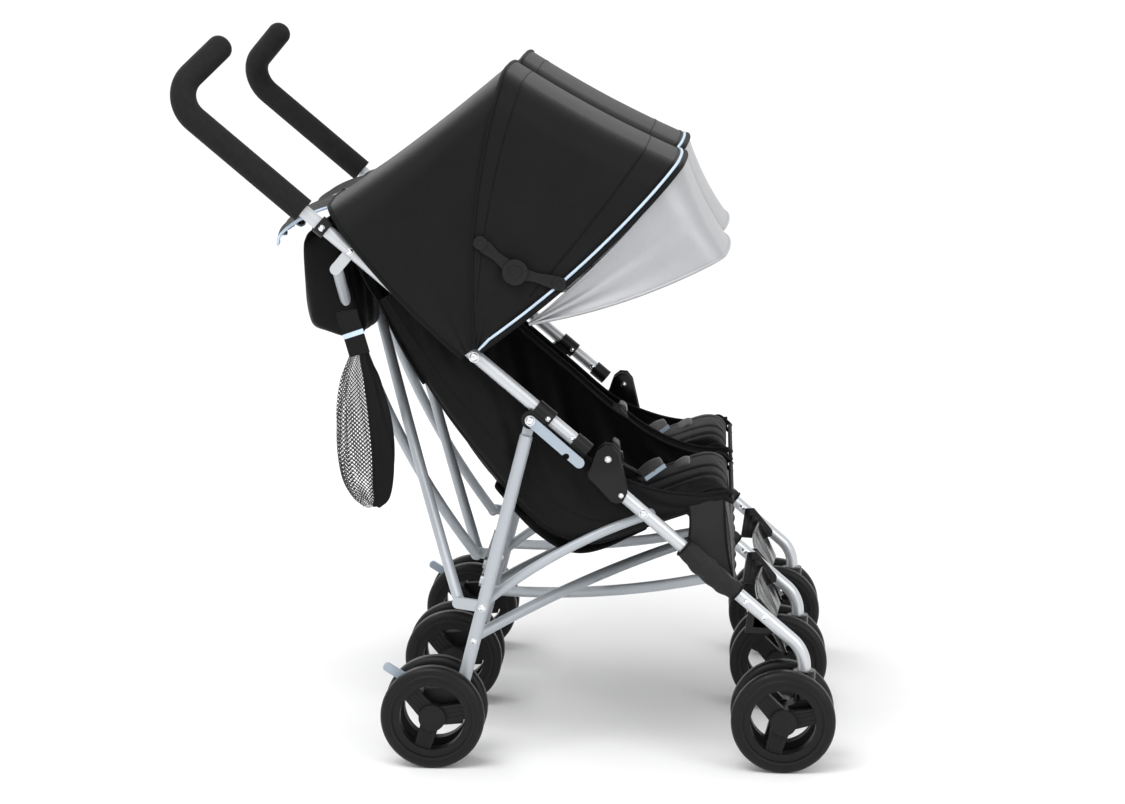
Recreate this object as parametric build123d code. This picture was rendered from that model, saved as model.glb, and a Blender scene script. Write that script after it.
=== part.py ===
"""Side-by-side twin folding stroller with three side frames, two seats and two canopies.

X is the direction of travel, Y points to the left-hand side and Z up, in millimetres.
The origin is on the floor, under the middle of the stroller. A side-view point is (x, z).
"""
import os
from math import cos, hypot, radians, sin

from build123d import *

# ---- overall layout -------------------------------------------------------------------
PITCH = 340.0  # spacing of the three side frames
TUBE_D = 19.0  # handle tubes and legs
TUBE_WALL = 1.5
BAR_D = 16.0  # crossing bars
STAY_D = 14.0
GRIP_D = 37.0
RIVET_D = 8.0
EYE_GAP = 0.05  # radial running clearance on a rivet
SIDE_GAP = 0.4  # clearance between parts that pass each other
SOFT_GAP = 2.0  # clearance between fabric and metal

# ---- side view of one frame -----------------------------------------------------------
HANDLE_SLOPE = 40.2  # degrees between the handle tube and the floor
HANDLE_REF = (76.0, 494.0)  # a point on the handle tube's axis
HANDLE_FOOT_AT = 54.0  # tube's lower end, along the axis below HANDLE_REF
KNEE_CUP_FROM = 28.0
GRIP_FROM_AT = -474.0  # grip's lower end, along the same axis
GRIP_BEND_AT = -720.0
GRIP_BEND_R = 46.0
GRIP_TURN = (72.0, 66.0, 76.0)  # forward, inwards and up from the bend to the end
GRIP_END_WALL = 18.0
GRIP_END_ROUND = 15.0
CENTRE_TOP_AT = -462.0
CAP_LENGTH = 16.0
KNUCKLE_D = 18.0  # rounded ends of the crossing bars
BRACKET_T = 8.0
KNEE_RIVET_D = 6.0
CAP_WALL = 2.5

LEG_PIVOT_AT = -38.0  # rear leg's pivot, along the handle axis
LEG_PIVOT_DROP = 18.0  # and below it
KNEE = (146.0, 450.0)  # front leg's pivot
FRONT_LEG_DROP = 27.5  # front leg's axis below the knee
FRONT_LEG_FROM = -4.0
FRONT_LEG_BEND = (428.0, 171.7)
FRONT_LEG_BEND_R = 52.0
TANG_T = 6.0  # flat top end of the rear leg
TANG_WIDTH = 15.2
TANG_LENGTH = 25.0
TANG_ROOT = 18.0  # tang inside the tube
STAY_FRONT_AT = 104.0  # stay's rivet, its distance from the knee
REAR_LEG_END = (-73.0, 78.0)
STAY_REAR_AT = 283.0  # stay's rivet on the rear leg, from the leg's pivot
LOW_BAR_REAR_AT = 334.0
LOW_BAR_FRONT_AT = 239.0  # along the front leg from its top
REAR_BAR_REACH = 36.0  # rear bar's lower rivet behind the rear leg
HIGH_BAR_AT = -386.0  # rear bar's upper bracket along the handle axis
HIGH_BAR_REACH = 34.0
LOW_BAR_CLEAR = 2.6  # gap between a lower bar's end and its leg
REAR_BAR_CLEAR = 1.6  # gap between a rear bar's end and its bracket
LOW_BAR_BOW = 13.0
REAR_BAR_BOW = 12.0
REAR_BAR_SAG = 16.0
STAY_BOW = 11.0
STRUT_AT = 250.0
STRUT_WIDTH = 14.0
STRUT_T = 4.0
STRUT_EYE_D = 18.0
STRUT_BEHIND = 14.0  # struts behind the rear legs' axes
HOOK_Y = 15.5
HOOK_LENGTH = 92.0
HOOK_WIDTH = 15.0
LEVER_T = 8.0
LEVER_WIDTH = 12.0
LEVER_PIN_D = 5.0

# ---- wheels and casters ---------------------------------------------------------------
WHEEL_D = 150.0
TYRE_WIDTH = 25.0
TYRE_DEPTH = 17.0
WHEEL_OUTER = 44.0  # half the width over a pair of wheels
RIM_DEPTH = 11.0
HUB_D = 38.0
AXLE_D = 8.0
SPOKES = 3
SPOKE_WIDTH = 28.0
REAR_AXLE_X = -105.0
CASTER_X = 428.0
CASTER_TRAIL = 30.0
CASTER_TOP = 143.0
STEM_D = 10.0
HOUSING_D = 32.0
STEM_LENGTH = 20.0  # part of the housing below the leg
FORK_CROWN = 14.0

# ---- seat, canopy and bags ------------------------------------------------------------
FABRIC = 4.0
PAD = 16.0
CANOPY_PIVOT_AT = -157.0
CANOPY_REAR = (-250.0, 800.0)
CANOPY_TOP = (-2.0, 991.0)
CANOPY_FRONT = (244.0, 861.0)
CANOPY_LOW = (-150.0, 712.0)
VISOR_FRONT = (317.0, 747.0)
VISOR_LOW = (23.0, 638.0)
SEAT_TOP = (-178.0, 672.0)
SEAT_BACK = (-98.0, 534.0)
SEAT_HIP = (50.0, 344.0)
SEAT_MID = (118.0, 322.0)
SEAT_EDGE = (326.0, 396.0)
ARM_HIGH = (66.0, 480.0)
CALF_INSET = TUBE_D / 2 + SOFT_GAP + 1.0
CALF_TOP = (330.0, 384.0)
CALF_FRONT = (340.0, 272.0)
CALF_HEEL = (262.0, 318.0)
CALF_BACK = (262.0, 366.0)
FOOT_TOP = (374.0, 215.0)
FOOT_MID = (402.0, 158.0)
FOOT_LOW = (413.0, 134.0)
FOOT_T = 5.0
WING_EDGE = (240.0, 372.0)
WING_TOP = (-110.0, 640.0)
SEAT_INSET = 31.0  # seat's side from the frame's plane
BOW_D = 5.0
BOW_FOOT = 34.0  # bow's lower end from the canopy's pivot

U = (cos(radians(HANDLE_SLOPE)), -sin(radians(HANDLE_SLOPE)))  # down the handle tube
N = (-sin(radians(HANDLE_SLOPE)), -cos(radians(HANDLE_SLOPE)))  # square to it, downwards


def along_handle(distance, drop=0.0):
    """Side-view point at a distance down the handle tube's axis and a drop below it."""
    return (
        HANDLE_REF[0] + distance * U[0] + drop * N[0],
        HANDLE_REF[1] + distance * U[1] + drop * N[1],
    )


def toward(a, b, distance, side=0.0):
    """Point at a distance from a towards b, moved square to that line (left of it)."""
    length = hypot(b[0] - a[0], b[1] - a[1])
    d = ((b[0] - a[0]) / length, (b[1] - a[1]) / length)
    return (a[0] + distance * d[0] - side * d[1], a[1] + distance * d[1] + side * d[0])


LEG_PIVOT = along_handle(LEG_PIVOT_AT, LEG_PIVOT_DROP)
KNEE_FOOT = (KNEE[0] + FRONT_LEG_DROP * N[0], KNEE[1] + FRONT_LEG_DROP * N[1])
FRONT_LEG_TOP = (KNEE_FOOT[0] + FRONT_LEG_FROM * U[0], KNEE_FOOT[1] + FRONT_LEG_FROM * U[1])
CASTER_SEAT = (CASTER_X, CASTER_TOP - STEM_LENGTH)
KNEE_RIVET = toward(FRONT_LEG_TOP, FRONT_LEG_BEND, 16.0)
STAY_FRONT = toward(KNEE_FOOT, FRONT_LEG_BEND, (STAY_FRONT_AT**2 - FRONT_LEG_DROP**2) ** 0.5)
STAY_REAR = toward(LEG_PIVOT, REAR_LEG_END, STAY_REAR_AT)
LOW_BAR_REAR = toward(LEG_PIVOT, REAR_LEG_END, LOW_BAR_REAR_AT)
LOW_BAR_FRONT = toward(FRONT_LEG_TOP, FRONT_LEG_BEND, LOW_BAR_FRONT_AT)
REAR_BAR_LOW = toward(LEG_PIVOT, REAR_LEG_END, STAY_REAR_AT + 4.0, -REAR_BAR_REACH)
REAR_BAR_HIGH = along_handle(HIGH_BAR_AT, HIGH_BAR_REACH)
CANOPY_PIVOT = along_handle(CANOPY_PIVOT_AT)
REAR_AXLE = (REAR_AXLE_X, WHEEL_D / 2)
FRONT_AXLE = (CASTER_X - CASTER_TRAIL, WHEEL_D / 2)
PLATE_T = 3.0  # knee plates
KNEE_HALF = TUBE_D / 2 + SIDE_GAP  # half the gap between the knee plates
STAY_Y = KNEE_HALF + PLATE_T + SIDE_GAP + STAY_D / 2 + 1.0  # stay's plane, inboard
LOW_BAR_Y = TUBE_D / 2 + LOW_BAR_CLEAR + KNUCKLE_D / 2  # ends of the lower bars, inboard
REAR_BAR_Y = BRACKET_T / 2 + REAR_BAR_CLEAR + KNUCKLE_D / 2  # ends of the rear bars, inboard
TYRE_MID = WHEEL_OUTER - TYRE_WIDTH / 2
HUB_HALF = WHEEL_OUTER - TYRE_WIDTH - 2.0  # half the housing between two wheels
SWIVEL_ROOM = hypot(CASTER_TRAIL + WHEEL_D / 2, WHEEL_OUTER) + 4.0  # reach of a caster
LEVER_PIVOT = (REAR_AXLE_X - 6.0, WHEEL_D / 2 + 26.0)
LEVER_END = (REAR_AXLE_X - 68.0, WHEEL_D / 2 + 64.0)
STRUT_Y = TUBE_D / 2 + SIDE_GAP + STRUT_EYE_D / 2  # strut's pivot, inboard
STRUT_ROOT = toward(LEG_PIVOT, REAR_LEG_END, STRUT_AT, -STRUT_BEHIND)
STRUT_TIP = toward(LEG_PIVOT, REAR_LEG_END, STRUT_AT + 8.0, -STRUT_BEHIND)

# name: (y of the frame's plane, direction of the nearest bay's inside)
STATIONS = {"right": (-PITCH, 1), "centre": (0.0, 1), "left": (PITCH, -1)}
# bay name: (y of its right-hand frame, y of its left-hand frame)
BAYS = {"right": (-PITCH, 0.0), "left": (0.0, PITCH)}


def at(point, y):
    """Side-view point as a 3-D point at depth y."""
    return Vector(point[0], y, point[1])


def plate(points, y, thickness):
    """Flat plate with the given side-view outline, centred on depth y."""
    outline = Polyline(*[at(p, y) for p in points], close=True)
    return extrude(make_face(outline), thickness / 2, dir=(0, 1, 0), both=True)


def disc(point, y, thickness, diameter):
    """Round disc or pin with its axis across the stroller, centred on depth y."""
    frame = Plane(origin=at(point, y), x_dir=(1, 0, 0), z_dir=(0, 1, 0))
    return frame * Cylinder(diameter / 2, thickness)


def rod(start, end, diameter):
    """Round rod between two 3-D points."""
    start, end = Vector(start), Vector(end)
    frame = Plane(origin=start, z_dir=end - start)
    align = (Align.CENTER, Align.CENTER, Align.MIN)
    return frame * Cylinder(diameter / 2, (end - start).length, align=align)


def sweep_round(points, radius, diameter):
    """Round bar along straight runs joined by arcs."""
    path = FilletPolyline(*points, radius=radius) if len(points) > 2 else Line(*points)
    section = Plane(origin=path @ 0, z_dir=path % 0) * Circle(diameter / 2)
    return sweep(section, path=path)


def link(a, b, width, y, thickness):
    """Flat link with round ends between two side-view points."""
    half = width / 2
    body = plate(
        [toward(a, b, 0, half), toward(b, a, 0, -half), toward(b, a, 0, half), toward(a, b, 0, -half)],
        y,
        thickness,
    )
    return body + disc(a, y, thickness, width) + disc(b, y, thickness, width)


def write(name, *solids):
    """Save one node's solids."""
    shape = solids[0] if len(solids) == 1 else Compound(children=list(solids))
    export_step(shape, f"parts/{name}.step")


# ---- handle tubes ---------------------------------------------------------------------
def handle_points(y, inboard, first, end_trim=0.0):
    """Route of a handle tube from a distance on its axis, round the bend, to the grip's end."""
    bend = at(along_handle(GRIP_BEND_AT), y)
    turn = Vector(GRIP_TURN[0], GRIP_TURN[1] * inboard, GRIP_TURN[2])
    end = bend + turn.normalized() * (turn.length - end_trim)
    return [at(along_handle(first), y), bend, end]


def high_bracket(y):
    """Pressed bracket behind the handle tube that carries the rear crossing bars."""
    root = along_handle(HIGH_BAR_AT, TUBE_D / 2 - 1.0)
    strap = link(root, REAR_BAR_HIGH, BAR_D, y, BRACKET_T)
    tube = rod(at(along_handle(HIGH_BAR_AT - 60.0), y), at(along_handle(HIGH_BAR_AT + 60.0), y), TUBE_D)
    return strap - tube


def side_handle(y, inboard):
    """Outer handle tube, bent at the top to take its grip."""
    outer = sweep_round(handle_points(y, inboard, HANDLE_FOOT_AT, GRIP_END_WALL), GRIP_BEND_R, TUBE_D)
    bore = sweep_round(
        handle_points(y, inboard, HANDLE_FOOT_AT, GRIP_END_WALL), GRIP_BEND_R, TUBE_D - 2 * TUBE_WALL
    )
    return outer - bore


def centre_handle():
    """Short straight middle tube."""
    foot = at(along_handle(HANDLE_FOOT_AT), 0)
    top = at(along_handle(CENTRE_TOP_AT), 0)
    return rod(foot, top, TUBE_D) - rod(foot, top, TUBE_D - 2 * TUBE_WALL)


def grip(y, inboard):
    """Foam grip, closed at its end, with the tube's bore through it."""
    body = sweep_round(handle_points(y, inboard, GRIP_FROM_AT), GRIP_BEND_R, GRIP_D)
    end = handle_points(y, inboard, GRIP_FROM_AT)[-1]
    rims = body.edges().filter_by(GeomType.CIRCLE).sort_by_distance(end)
    body = fillet(rims[0], GRIP_END_ROUND)
    points = handle_points(y, inboard, GRIP_FROM_AT + 5.0, GRIP_END_WALL)
    return body - sweep_round(points, GRIP_BEND_R, TUBE_D)


def sleeve(y, start, end, diameter):
    """Moulded sleeve round the handle tube between two distances on its axis."""
    a, b = at(along_handle(start), y), at(along_handle(end), y)
    return rod(a, b, diameter) - rod(a, b, TUBE_D)


def pivot_clamp(y):
    """Clamp on the handle tube with two ears for the rear leg's pivot."""
    block = sleeve(y, LEG_PIVOT_AT - 6.0, LEG_PIVOT_AT + 24.0, TUBE_D + 7.0)
    ears = plate(
        [
            along_handle(LEG_PIVOT_AT - 10.0, 6.0),
            along_handle(LEG_PIVOT_AT + 20.0, 6.0),
            along_handle(LEG_PIVOT_AT + 12.0, LEG_PIVOT_DROP + 2.0),
            along_handle(LEG_PIVOT_AT - 10.0, LEG_PIVOT_DROP + 2.0),
        ],
        y,
        TUBE_D + 4.0,
    ) + disc(LEG_PIVOT, y, TUBE_D + 4.0, 26.0)
    tube = rod(at(along_handle(LEG_PIVOT_AT - 60.0), y), at(along_handle(LEG_PIVOT_AT + 60.0), y), TUBE_D)
    slot = disc(LEG_PIVOT, y, TANG_T + 2 * SIDE_GAP, 60.0)
    keep = rod(
        at(along_handle(LEG_PIVOT_AT - 60.0), y), at(along_handle(LEG_PIVOT_AT + 60.0), y), TUBE_D + 1.0
    )
    return (block + ears) - tube - (slot - keep)


def knee_eye(y):
    """Moulded end of the handle tube with the eye for the knee pin."""
    cup = sleeve(y, KNEE_CUP_FROM, HANDLE_FOOT_AT, TUBE_D + 5.0)
    neck = plate(
        [
            along_handle(HANDLE_FOOT_AT, -8.0),
            toward(KNEE, along_handle(HANDLE_FOOT_AT), 0, 10.5),
            toward(KNEE, along_handle(HANDLE_FOOT_AT), 0, -10.5),
            along_handle(HANDLE_FOOT_AT, 9.0),
        ],
        y,
        2 * TUBE_D / 2 - 0.4,
    )
    return cup + neck + disc(KNEE, y, TUBE_D - 0.4, 22.0) - disc(KNEE, y, 60.0, RIVET_D)


def upper_fittings(name, y):
    """Black fittings on a handle tube with the pins that they hold."""
    pin_half = HOOK_Y + PLATE_T / 2 + 1.0
    leg_pin = disc(LEG_PIVOT, y, 2 * pin_half, RIVET_D)
    clamp = pivot_clamp(y) - leg_pin
    knee_pin = disc(KNEE, y, 2 * (KNEE_HALF + PLATE_T), RIVET_D)
    solids = list(clamp.solids()) + [leg_pin, knee_eye(y), knee_pin]
    if name != "centre":
        solids.append(sleeve(y, GRIP_FROM_AT + 28.0, GRIP_FROM_AT + 44.0, TUBE_D + 8.0))
    else:
        top = along_handle(CENTRE_TOP_AT)
        over = along_handle(CENTRE_TOP_AT - CAP_WALL)
        under = along_handle(CENTRE_TOP_AT + CAP_LENGTH)
        cap = rod(at(over, y), at(under, y), TUBE_D + 2 * CAP_WALL) - rod(at(top, y), at(under, y), TUBE_D)
        solids.append(cap)
    return solids


# ---- legs -----------------------------------------------------------------------------
def rear_leg(y, inboard):
    """Rear leg: tube and flat tang, the stay's rivet and the bracket for the rear bars."""
    start = at(toward(LEG_PIVOT, REAR_LEG_END, TANG_LENGTH), y)
    end = at(REAR_LEG_END, y)
    bore = rod(start, end, TUBE_D - 2 * TUBE_WALL)
    tang_end = toward(LEG_PIVOT, REAR_LEG_END, TANG_LENGTH + TANG_ROOT)
    tang = link(LEG_PIVOT, tang_end, TANG_WIDTH, y, TANG_T)
    tang = tang - disc(LEG_PIVOT, y, 60.0, RIVET_D + 2 * EYE_GAP)
    reach = STAY_Y + STAY_D / 2
    rivet = disc(STAY_REAR, y + inboard * reach / 2, reach, RIVET_D)
    bracket = link(STAY_REAR, REAR_BAR_LOW, BAR_D, y, BRACKET_T) - rod(start, end, TUBE_D)
    tube = (rod(start, end, TUBE_D) - bore) + tang
    return [tube - rivet, rivet] + list(bracket.solids())


def rear_housing(y, braked):
    """Moulded axle housing at the foot of a rear leg, with the pin of its brake lever."""
    outline = [
        toward(REAR_LEG_END, LEG_PIVOT, 34.0, 13.0),
        toward(REAR_LEG_END, LEG_PIVOT, 34.0, -13.0),
        (REAR_LEG_END[0] + 10.0, REAR_AXLE[1] - 14.0),
        (REAR_AXLE_X, REAR_AXLE[1] - 18.0),
        (REAR_AXLE_X - 17.0, REAR_AXLE[1] + 4.0),
        (REAR_AXLE_X - 14.0, REAR_AXLE[1] + 36.0),
    ]
    body = plate(outline, y, 2 * HUB_HALF)
    body = body - rod(at(REAR_LEG_END, y), at(toward(REAR_LEG_END, LEG_PIVOT, 80.0), y), TUBE_D)
    body = body - disc(REAR_AXLE, y, 60.0, AXLE_D + 2 * EYE_GAP)
    if not braked:
        return [body]
    pin = disc(LEVER_PIVOT, y, 2 * HUB_HALF - 4.0, LEVER_PIN_D)
    return [body - disc(LEVER_PIVOT, y, LEVER_T + 2 * SIDE_GAP, 44.0) - pin, pin]


def brake_lever(y):
    """Foot lever that locks a pair of rear wheels."""
    lever = link(LEVER_PIVOT, LEVER_END, LEVER_WIDTH, y, LEVER_T)
    return [lever - disc(LEVER_PIVOT, y, 60.0, LEVER_PIN_D + 2 * EYE_GAP)]


def front_leg_route(y):
    return [at(FRONT_LEG_TOP, y), at(FRONT_LEG_BEND, y), at(CASTER_SEAT, y)]


def front_leg(y):
    """Front leg: straight from the knee, then bent down into the caster's housing."""
    outer = sweep_round(front_leg_route(y), FRONT_LEG_BEND_R, TUBE_D)
    bore = sweep_round(front_leg_route(y), FRONT_LEG_BEND_R, TUBE_D - 2 * TUBE_WALL)
    return outer - bore - disc(KNEE_RIVET, y, 60.0, KNEE_RIVET_D)


def knee_plates(y):
    """Two knee plates with the rivet that holds the front leg between them."""
    outline = [
        (KNEE[0] + dx, KNEE[1] + dz)
        for dx, dz in [(-16, 10), (-8, 17), (5, 15), (11, 6), (25, -48), (19, -60), (-15, -26)]
    ]
    gap = KNEE_HALF + PLATE_T / 2
    hole = disc(KNEE, y, 60.0, RIVET_D + 2 * EYE_GAP)
    rivet = disc(KNEE_RIVET, y, 2 * (KNEE_HALF + PLATE_T), KNEE_RIVET_D)
    plates = [plate(outline, y + side * gap, PLATE_T) - hole - rivet for side in (-1, 1)]
    return plates + [rivet]


def caster_housing(y):
    """Upright housing on the end of the front leg, with the bore for the caster's stem."""
    bottom = Vector(CASTER_X, y, CASTER_TOP - 2 * STEM_LENGTH)
    shell = rod(bottom, Vector(CASTER_X, y, CASTER_TOP), HOUSING_D)
    leg = sweep_round(front_leg_route(y), FRONT_LEG_BEND_R, TUBE_D)
    bore_top = bottom + Vector(0, 0, STEM_LENGTH - 4.0)
    return shell - leg - rod(bottom, bore_top, STEM_D + 2 * EYE_GAP)


# ---- wheels ---------------------------------------------------------------------------
def caster_fork(y):
    """Swivelling block with its stem; the axle passes through its trailing end."""
    top = CASTER_TOP - 2 * STEM_LENGTH - SIDE_GAP
    crown = rod(Vector(CASTER_X, y, top - FORK_CROWN), Vector(CASTER_X, y, top), HOUSING_D - 2.0)
    stem = rod(Vector(CASTER_X, y, top - 4.0), Vector(CASTER_X, y, top + STEM_LENGTH - 6.0), STEM_D)
    arm = link((CASTER_X - 2.0, top - FORK_CROWN), FRONT_AXLE, 26.0, y, 2 * HUB_HALF - 4.0)
    keep = rod(Vector(CASTER_X, y, top), Vector(CASTER_X, y, top + 60.0), 90.0)
    return [(crown + (arm - keep)) + stem - disc(FRONT_AXLE, y, 60.0, AXLE_D + 2 * EYE_GAP)]


def tyre(axle, y):
    """Solid tyre with rounded shoulders."""
    inner = WHEEL_D / 2 - TYRE_DEPTH
    ring = disc(axle, y, TYRE_WIDTH, WHEEL_D) - disc(axle, y, TYRE_WIDTH + 2, 2 * inner)
    rims = ring.edges().filter_by(GeomType.CIRCLE).group_by(lambda e: round(e.radius, 3))[-1]
    return fillet(rims, TYRE_WIDTH * 0.36)


def rim(axle, y):
    """Moulded wheel centre: a ring, a hub and wide ribbed spokes."""
    outer = WHEEL_D - 2 * TYRE_DEPTH
    ring = disc(axle, y, TYRE_WIDTH - 5.0, outer) - disc(axle, y, 60.0, outer - 2 * RIM_DEPTH)
    hub = disc(axle, y, TYRE_WIDTH, HUB_D)
    half, reach = SPOKE_WIDTH / 2, outer / 2 - RIM_DEPTH / 2
    for n in range(SPOKES):
        arm = plate(
            [(axle[0], axle[1] - half), (axle[0] + reach, axle[1] - half * 0.8),
             (axle[0] + reach, axle[1] + half * 0.8), (axle[0], axle[1] + half)],
            y, TYRE_WIDTH - 11.0,
        )
        hub = hub + arm.rotate(Axis(at(axle, y), (0, -1, 0)), 12.0 + n * 360.0 / SPOKES)
    return ring + hub - disc(axle, y, 60.0, AXLE_D)


def wheel_pair(axle, y):
    """Two wheels fixed on one axle."""
    wheels = [make(axle, y + side * TYRE_MID) for side in (-1, 1) for make in (tyre, rim)]
    return wheels + [disc(axle, y, 2 * WHEEL_OUTER - 6.0, AXLE_D)]


# ---- bars, stays and struts -----------------------------------------------------------
def bowed_bar(start, end, bow, diameter):
    """Round bar bowed away from the straight line between its ends."""
    path = ThreePointArc(start, (start + end) / 2 + bow, end)
    section = Plane(origin=path @ 0, z_dir=path % 0) * Circle(diameter / 2)
    return sweep(section, path=path)


def crossing_bar(low, high, bow):
    """Crossing bar with rounded knuckles at both ends."""
    bar = bowed_bar(low, high, Vector(*bow), BAR_D)
    for end, away in ((low, low - high), (high, high - low)):
        frame = Plane(origin=end, x_dir=away, z_dir=away.cross(Vector(0, 1, 1)))
        bar = bar + frame * Sphere(KNUCKLE_D / 2)
    return [bar]


def lower_bar(bay, forward):
    """Bar from a rear leg to the next frame's front leg; forward bars start on the right."""
    right, left = BAYS[bay]
    rear_y, front_y = (right, left) if forward else (left, right)
    step = LOW_BAR_Y if forward else -LOW_BAR_Y
    bow = (0, 0, LOW_BAR_BOW if forward else -LOW_BAR_BOW)
    return crossing_bar(at(LOW_BAR_REAR, rear_y + step), at(LOW_BAR_FRONT, front_y - step), bow)


def rear_bar(bay, rising):
    """Bar from a rear leg up to the next frame's handle tube; rising bars start on the right."""
    right, left = BAYS[bay]
    low_y, high_y = (right, left) if rising else (left, right)
    step = REAR_BAR_Y if rising else -REAR_BAR_Y
    bow = (REAR_BAR_BOW - REAR_BAR_SAG if rising else -REAR_BAR_BOW - REAR_BAR_SAG, 0, 0)
    return crossing_bar(at(REAR_BAR_LOW, low_y + step), at(REAR_BAR_HIGH, high_y - step), bow)


def stay(y, inboard):
    """Bowed stay from the rear leg's rivet to the front leg, with the rivet at its front eye."""
    plane = y + inboard * STAY_Y
    bar = bowed_bar(at(STAY_REAR, plane), at(STAY_FRONT, plane), Vector(-STAY_BOW / 2, 0, STAY_BOW), STAY_D)
    for end in (STAY_REAR, STAY_FRONT):
        bar = bar + disc(end, plane, STAY_D - 2.0, STAY_D + 4.0)
    near = TUBE_D / 2 + SIDE_GAP
    far = STAY_Y + STAY_D / 2 + 2.0
    rivet = disc(STAY_FRONT, y + inboard * (near + far) / 2, far - near, RIVET_D)
    return [bar - disc(STAY_REAR, y, 90.0, RIVET_D + 2 * EYE_GAP) - rivet, rivet]


def lock_strut(bay, side):
    """One of the two hinged links that lock a bay's rear legs apart; side is +1 on the right."""
    right, left = BAYS[bay]
    middle = (right + left) / 2
    leg_y = right if side > 0 else left
    root = at(STRUT_ROOT, leg_y + side * STRUT_Y)
    tip = at(STRUT_TIP, middle + side * STRUT_WIDTH / 2)
    across = tip - root
    leg = at(LEG_PIVOT, 0) - at(REAR_LEG_END, 0)
    normal = Vector(leg.Z, 0, -leg.X).normalized()
    layer = side * (STRUT_T / 2 + SIDE_GAP / 2)
    frame = Plane(origin=root + normal * layer, x_dir=across, z_dir=normal)
    strip = frame * Pos(across.length / 2, 0, 0) * Box(across.length, STRUT_WIDTH, STRUT_T)
    eyes = [frame * Pos(x, 0, 0) * Cylinder(STRUT_EYE_D / 2, STRUT_T) for x in (0, across.length)]
    return [strip + eyes[0] + eyes[1]]


def transport_hook():
    """Swinging latch plate on the right-hand frame, with its open notch and pivot rivet hole."""
    y = -PITCH - HOOK_Y
    end = along_handle(LEG_PIVOT_AT + HOOK_LENGTH, LEG_PIVOT_DROP + 1.0)
    notch = toward(LEG_PIVOT, end, HOOK_LENGTH - 20.0, -5.0)
    arm = link(LEG_PIVOT, end, HOOK_WIDTH, y, PLATE_T)
    mouth = link(notch, toward(LEG_PIVOT, end, HOOK_LENGTH - 24.0, -20.0), RIVET_D + 1.0, y, 9.0)
    return [arm - mouth - disc(LEG_PIVOT, y, 60.0, RIVET_D + 2 * EYE_GAP)]


# ---- soft goods -----------------------------------------------------------------------
def slab(a, b, thickness, y0, y1):
    """Flat sheet between two side-view points, across from y0 to y1."""
    half = thickness / 2
    corners = [toward(a, b, 0, half), toward(b, a, 0, -half), toward(b, a, 0, half), toward(a, b, 0, -half)]
    return plate(corners, (y0 + y1) / 2, y1 - y0)


def seat_back(bay):
    """Sling back with its two side wings."""
    right, left = BAYS[bay]
    y0, y1 = right + SEAT_INSET, left - SEAT_INSET
    shell = slab(SEAT_TOP, SEAT_BACK, PAD, y0, y1) + slab(SEAT_BACK, SEAT_HIP, PAD, y0, y1)
    shell = shell + disc(SEAT_BACK, (y0 + y1) / 2, y1 - y0, PAD)
    wing = [SEAT_TOP, SEAT_BACK, SEAT_HIP, SEAT_MID, WING_EDGE, ARM_HIGH, WING_TOP]
    for y in (y0 + FABRIC / 2, y1 - FABRIC / 2):
        shell = shell + plate(wing, y, FABRIC)
    return shell


def seat_pan(bay):
    """Seat pan from behind the hips to the front edge."""
    right, left = BAYS[bay]
    y0, y1 = right + SEAT_INSET + FABRIC + SOFT_GAP, left - SEAT_INSET - FABRIC - SOFT_GAP
    start = toward(SEAT_MID, SEAT_HIP, 46.0)
    pan = slab(start, SEAT_MID, PAD, y0, y1) + slab(SEAT_MID, SEAT_EDGE, PAD, y0, y1)
    return pan + disc(SEAT_MID, (y0 + y1) / 2, y1 - y0, PAD) + disc(SEAT_EDGE, (y0 + y1) / 2, y1 - y0, PAD)


def crotch_pad(bay):
    """Padded crotch strap of the harness, standing up from the pan."""
    middle = sum(BAYS[bay]) / 2
    foot = toward(SEAT_MID, SEAT_EDGE, 62.0, PAD / 2 + SOFT_GAP + 3.0)
    head = toward(SEAT_MID, SEAT_EDGE, 120.0, PAD / 2 + 24.0)
    return slab(foot, head, 6.0, middle - 26.0, middle + 26.0)


def calf_panel(bay):
    """Fabric below the seat's edge with a gusset beside each front leg."""
    right, left = BAYS[bay]
    y0, y1 = right + CALF_INSET, left - CALF_INSET
    sheet = slab(CALF_TOP, CALF_FRONT, FABRIC, y0, y1)
    for y in (y0 + FABRIC / 2, y1 - FABRIC / 2):
        sheet = sheet + plate([CALF_BACK, CALF_TOP, CALF_FRONT, CALF_HEEL], y, FABRIC)
    return sheet


def footrest(bay):
    """Moulded footrest strap between two front legs."""
    right, left = BAYS[bay]
    inset = TUBE_D / 2 + SOFT_GAP
    upper = slab(FOOT_TOP, FOOT_MID, FOOT_T, right + inset, left - inset)
    lower = slab(FOOT_MID, FOOT_LOW, FOOT_T, right + SWIVEL_ROOM, left - SWIVEL_ROOM)
    joint = disc(FOOT_MID, (right + left) / 2, PITCH - 2 * SWIVEL_ROOM, FOOT_T)
    return upper + lower + joint


def canopy_sides(bay):
    right, left = BAYS[bay]
    reach = TUBE_D / 2 + SOFT_GAP + FABRIC
    return (right - reach if right < 0 else right + reach, left + reach if left > 0 else left - reach)


def canopy_shell(bay, outline, covered, inset=0.0):
    """Fabric shell: two side panels and a sheet along each covered edge of the outline."""
    low, high = canopy_sides(bay)
    y0, y1 = low + inset, high - inset
    shell = plate(outline, y0 + FABRIC / 2, FABRIC) + plate(outline, y1 - FABRIC / 2, FABRIC)
    for n in covered:
        a, b = outline[n], outline[(n + 1) % len(outline)]
        strip = [a, b, toward(b, a, FABRIC, FABRIC), toward(a, b, FABRIC, -FABRIC)]
        shell = shell + plate(strip, (y0 + y1) / 2, y1 - y0)
    return shell


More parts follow.
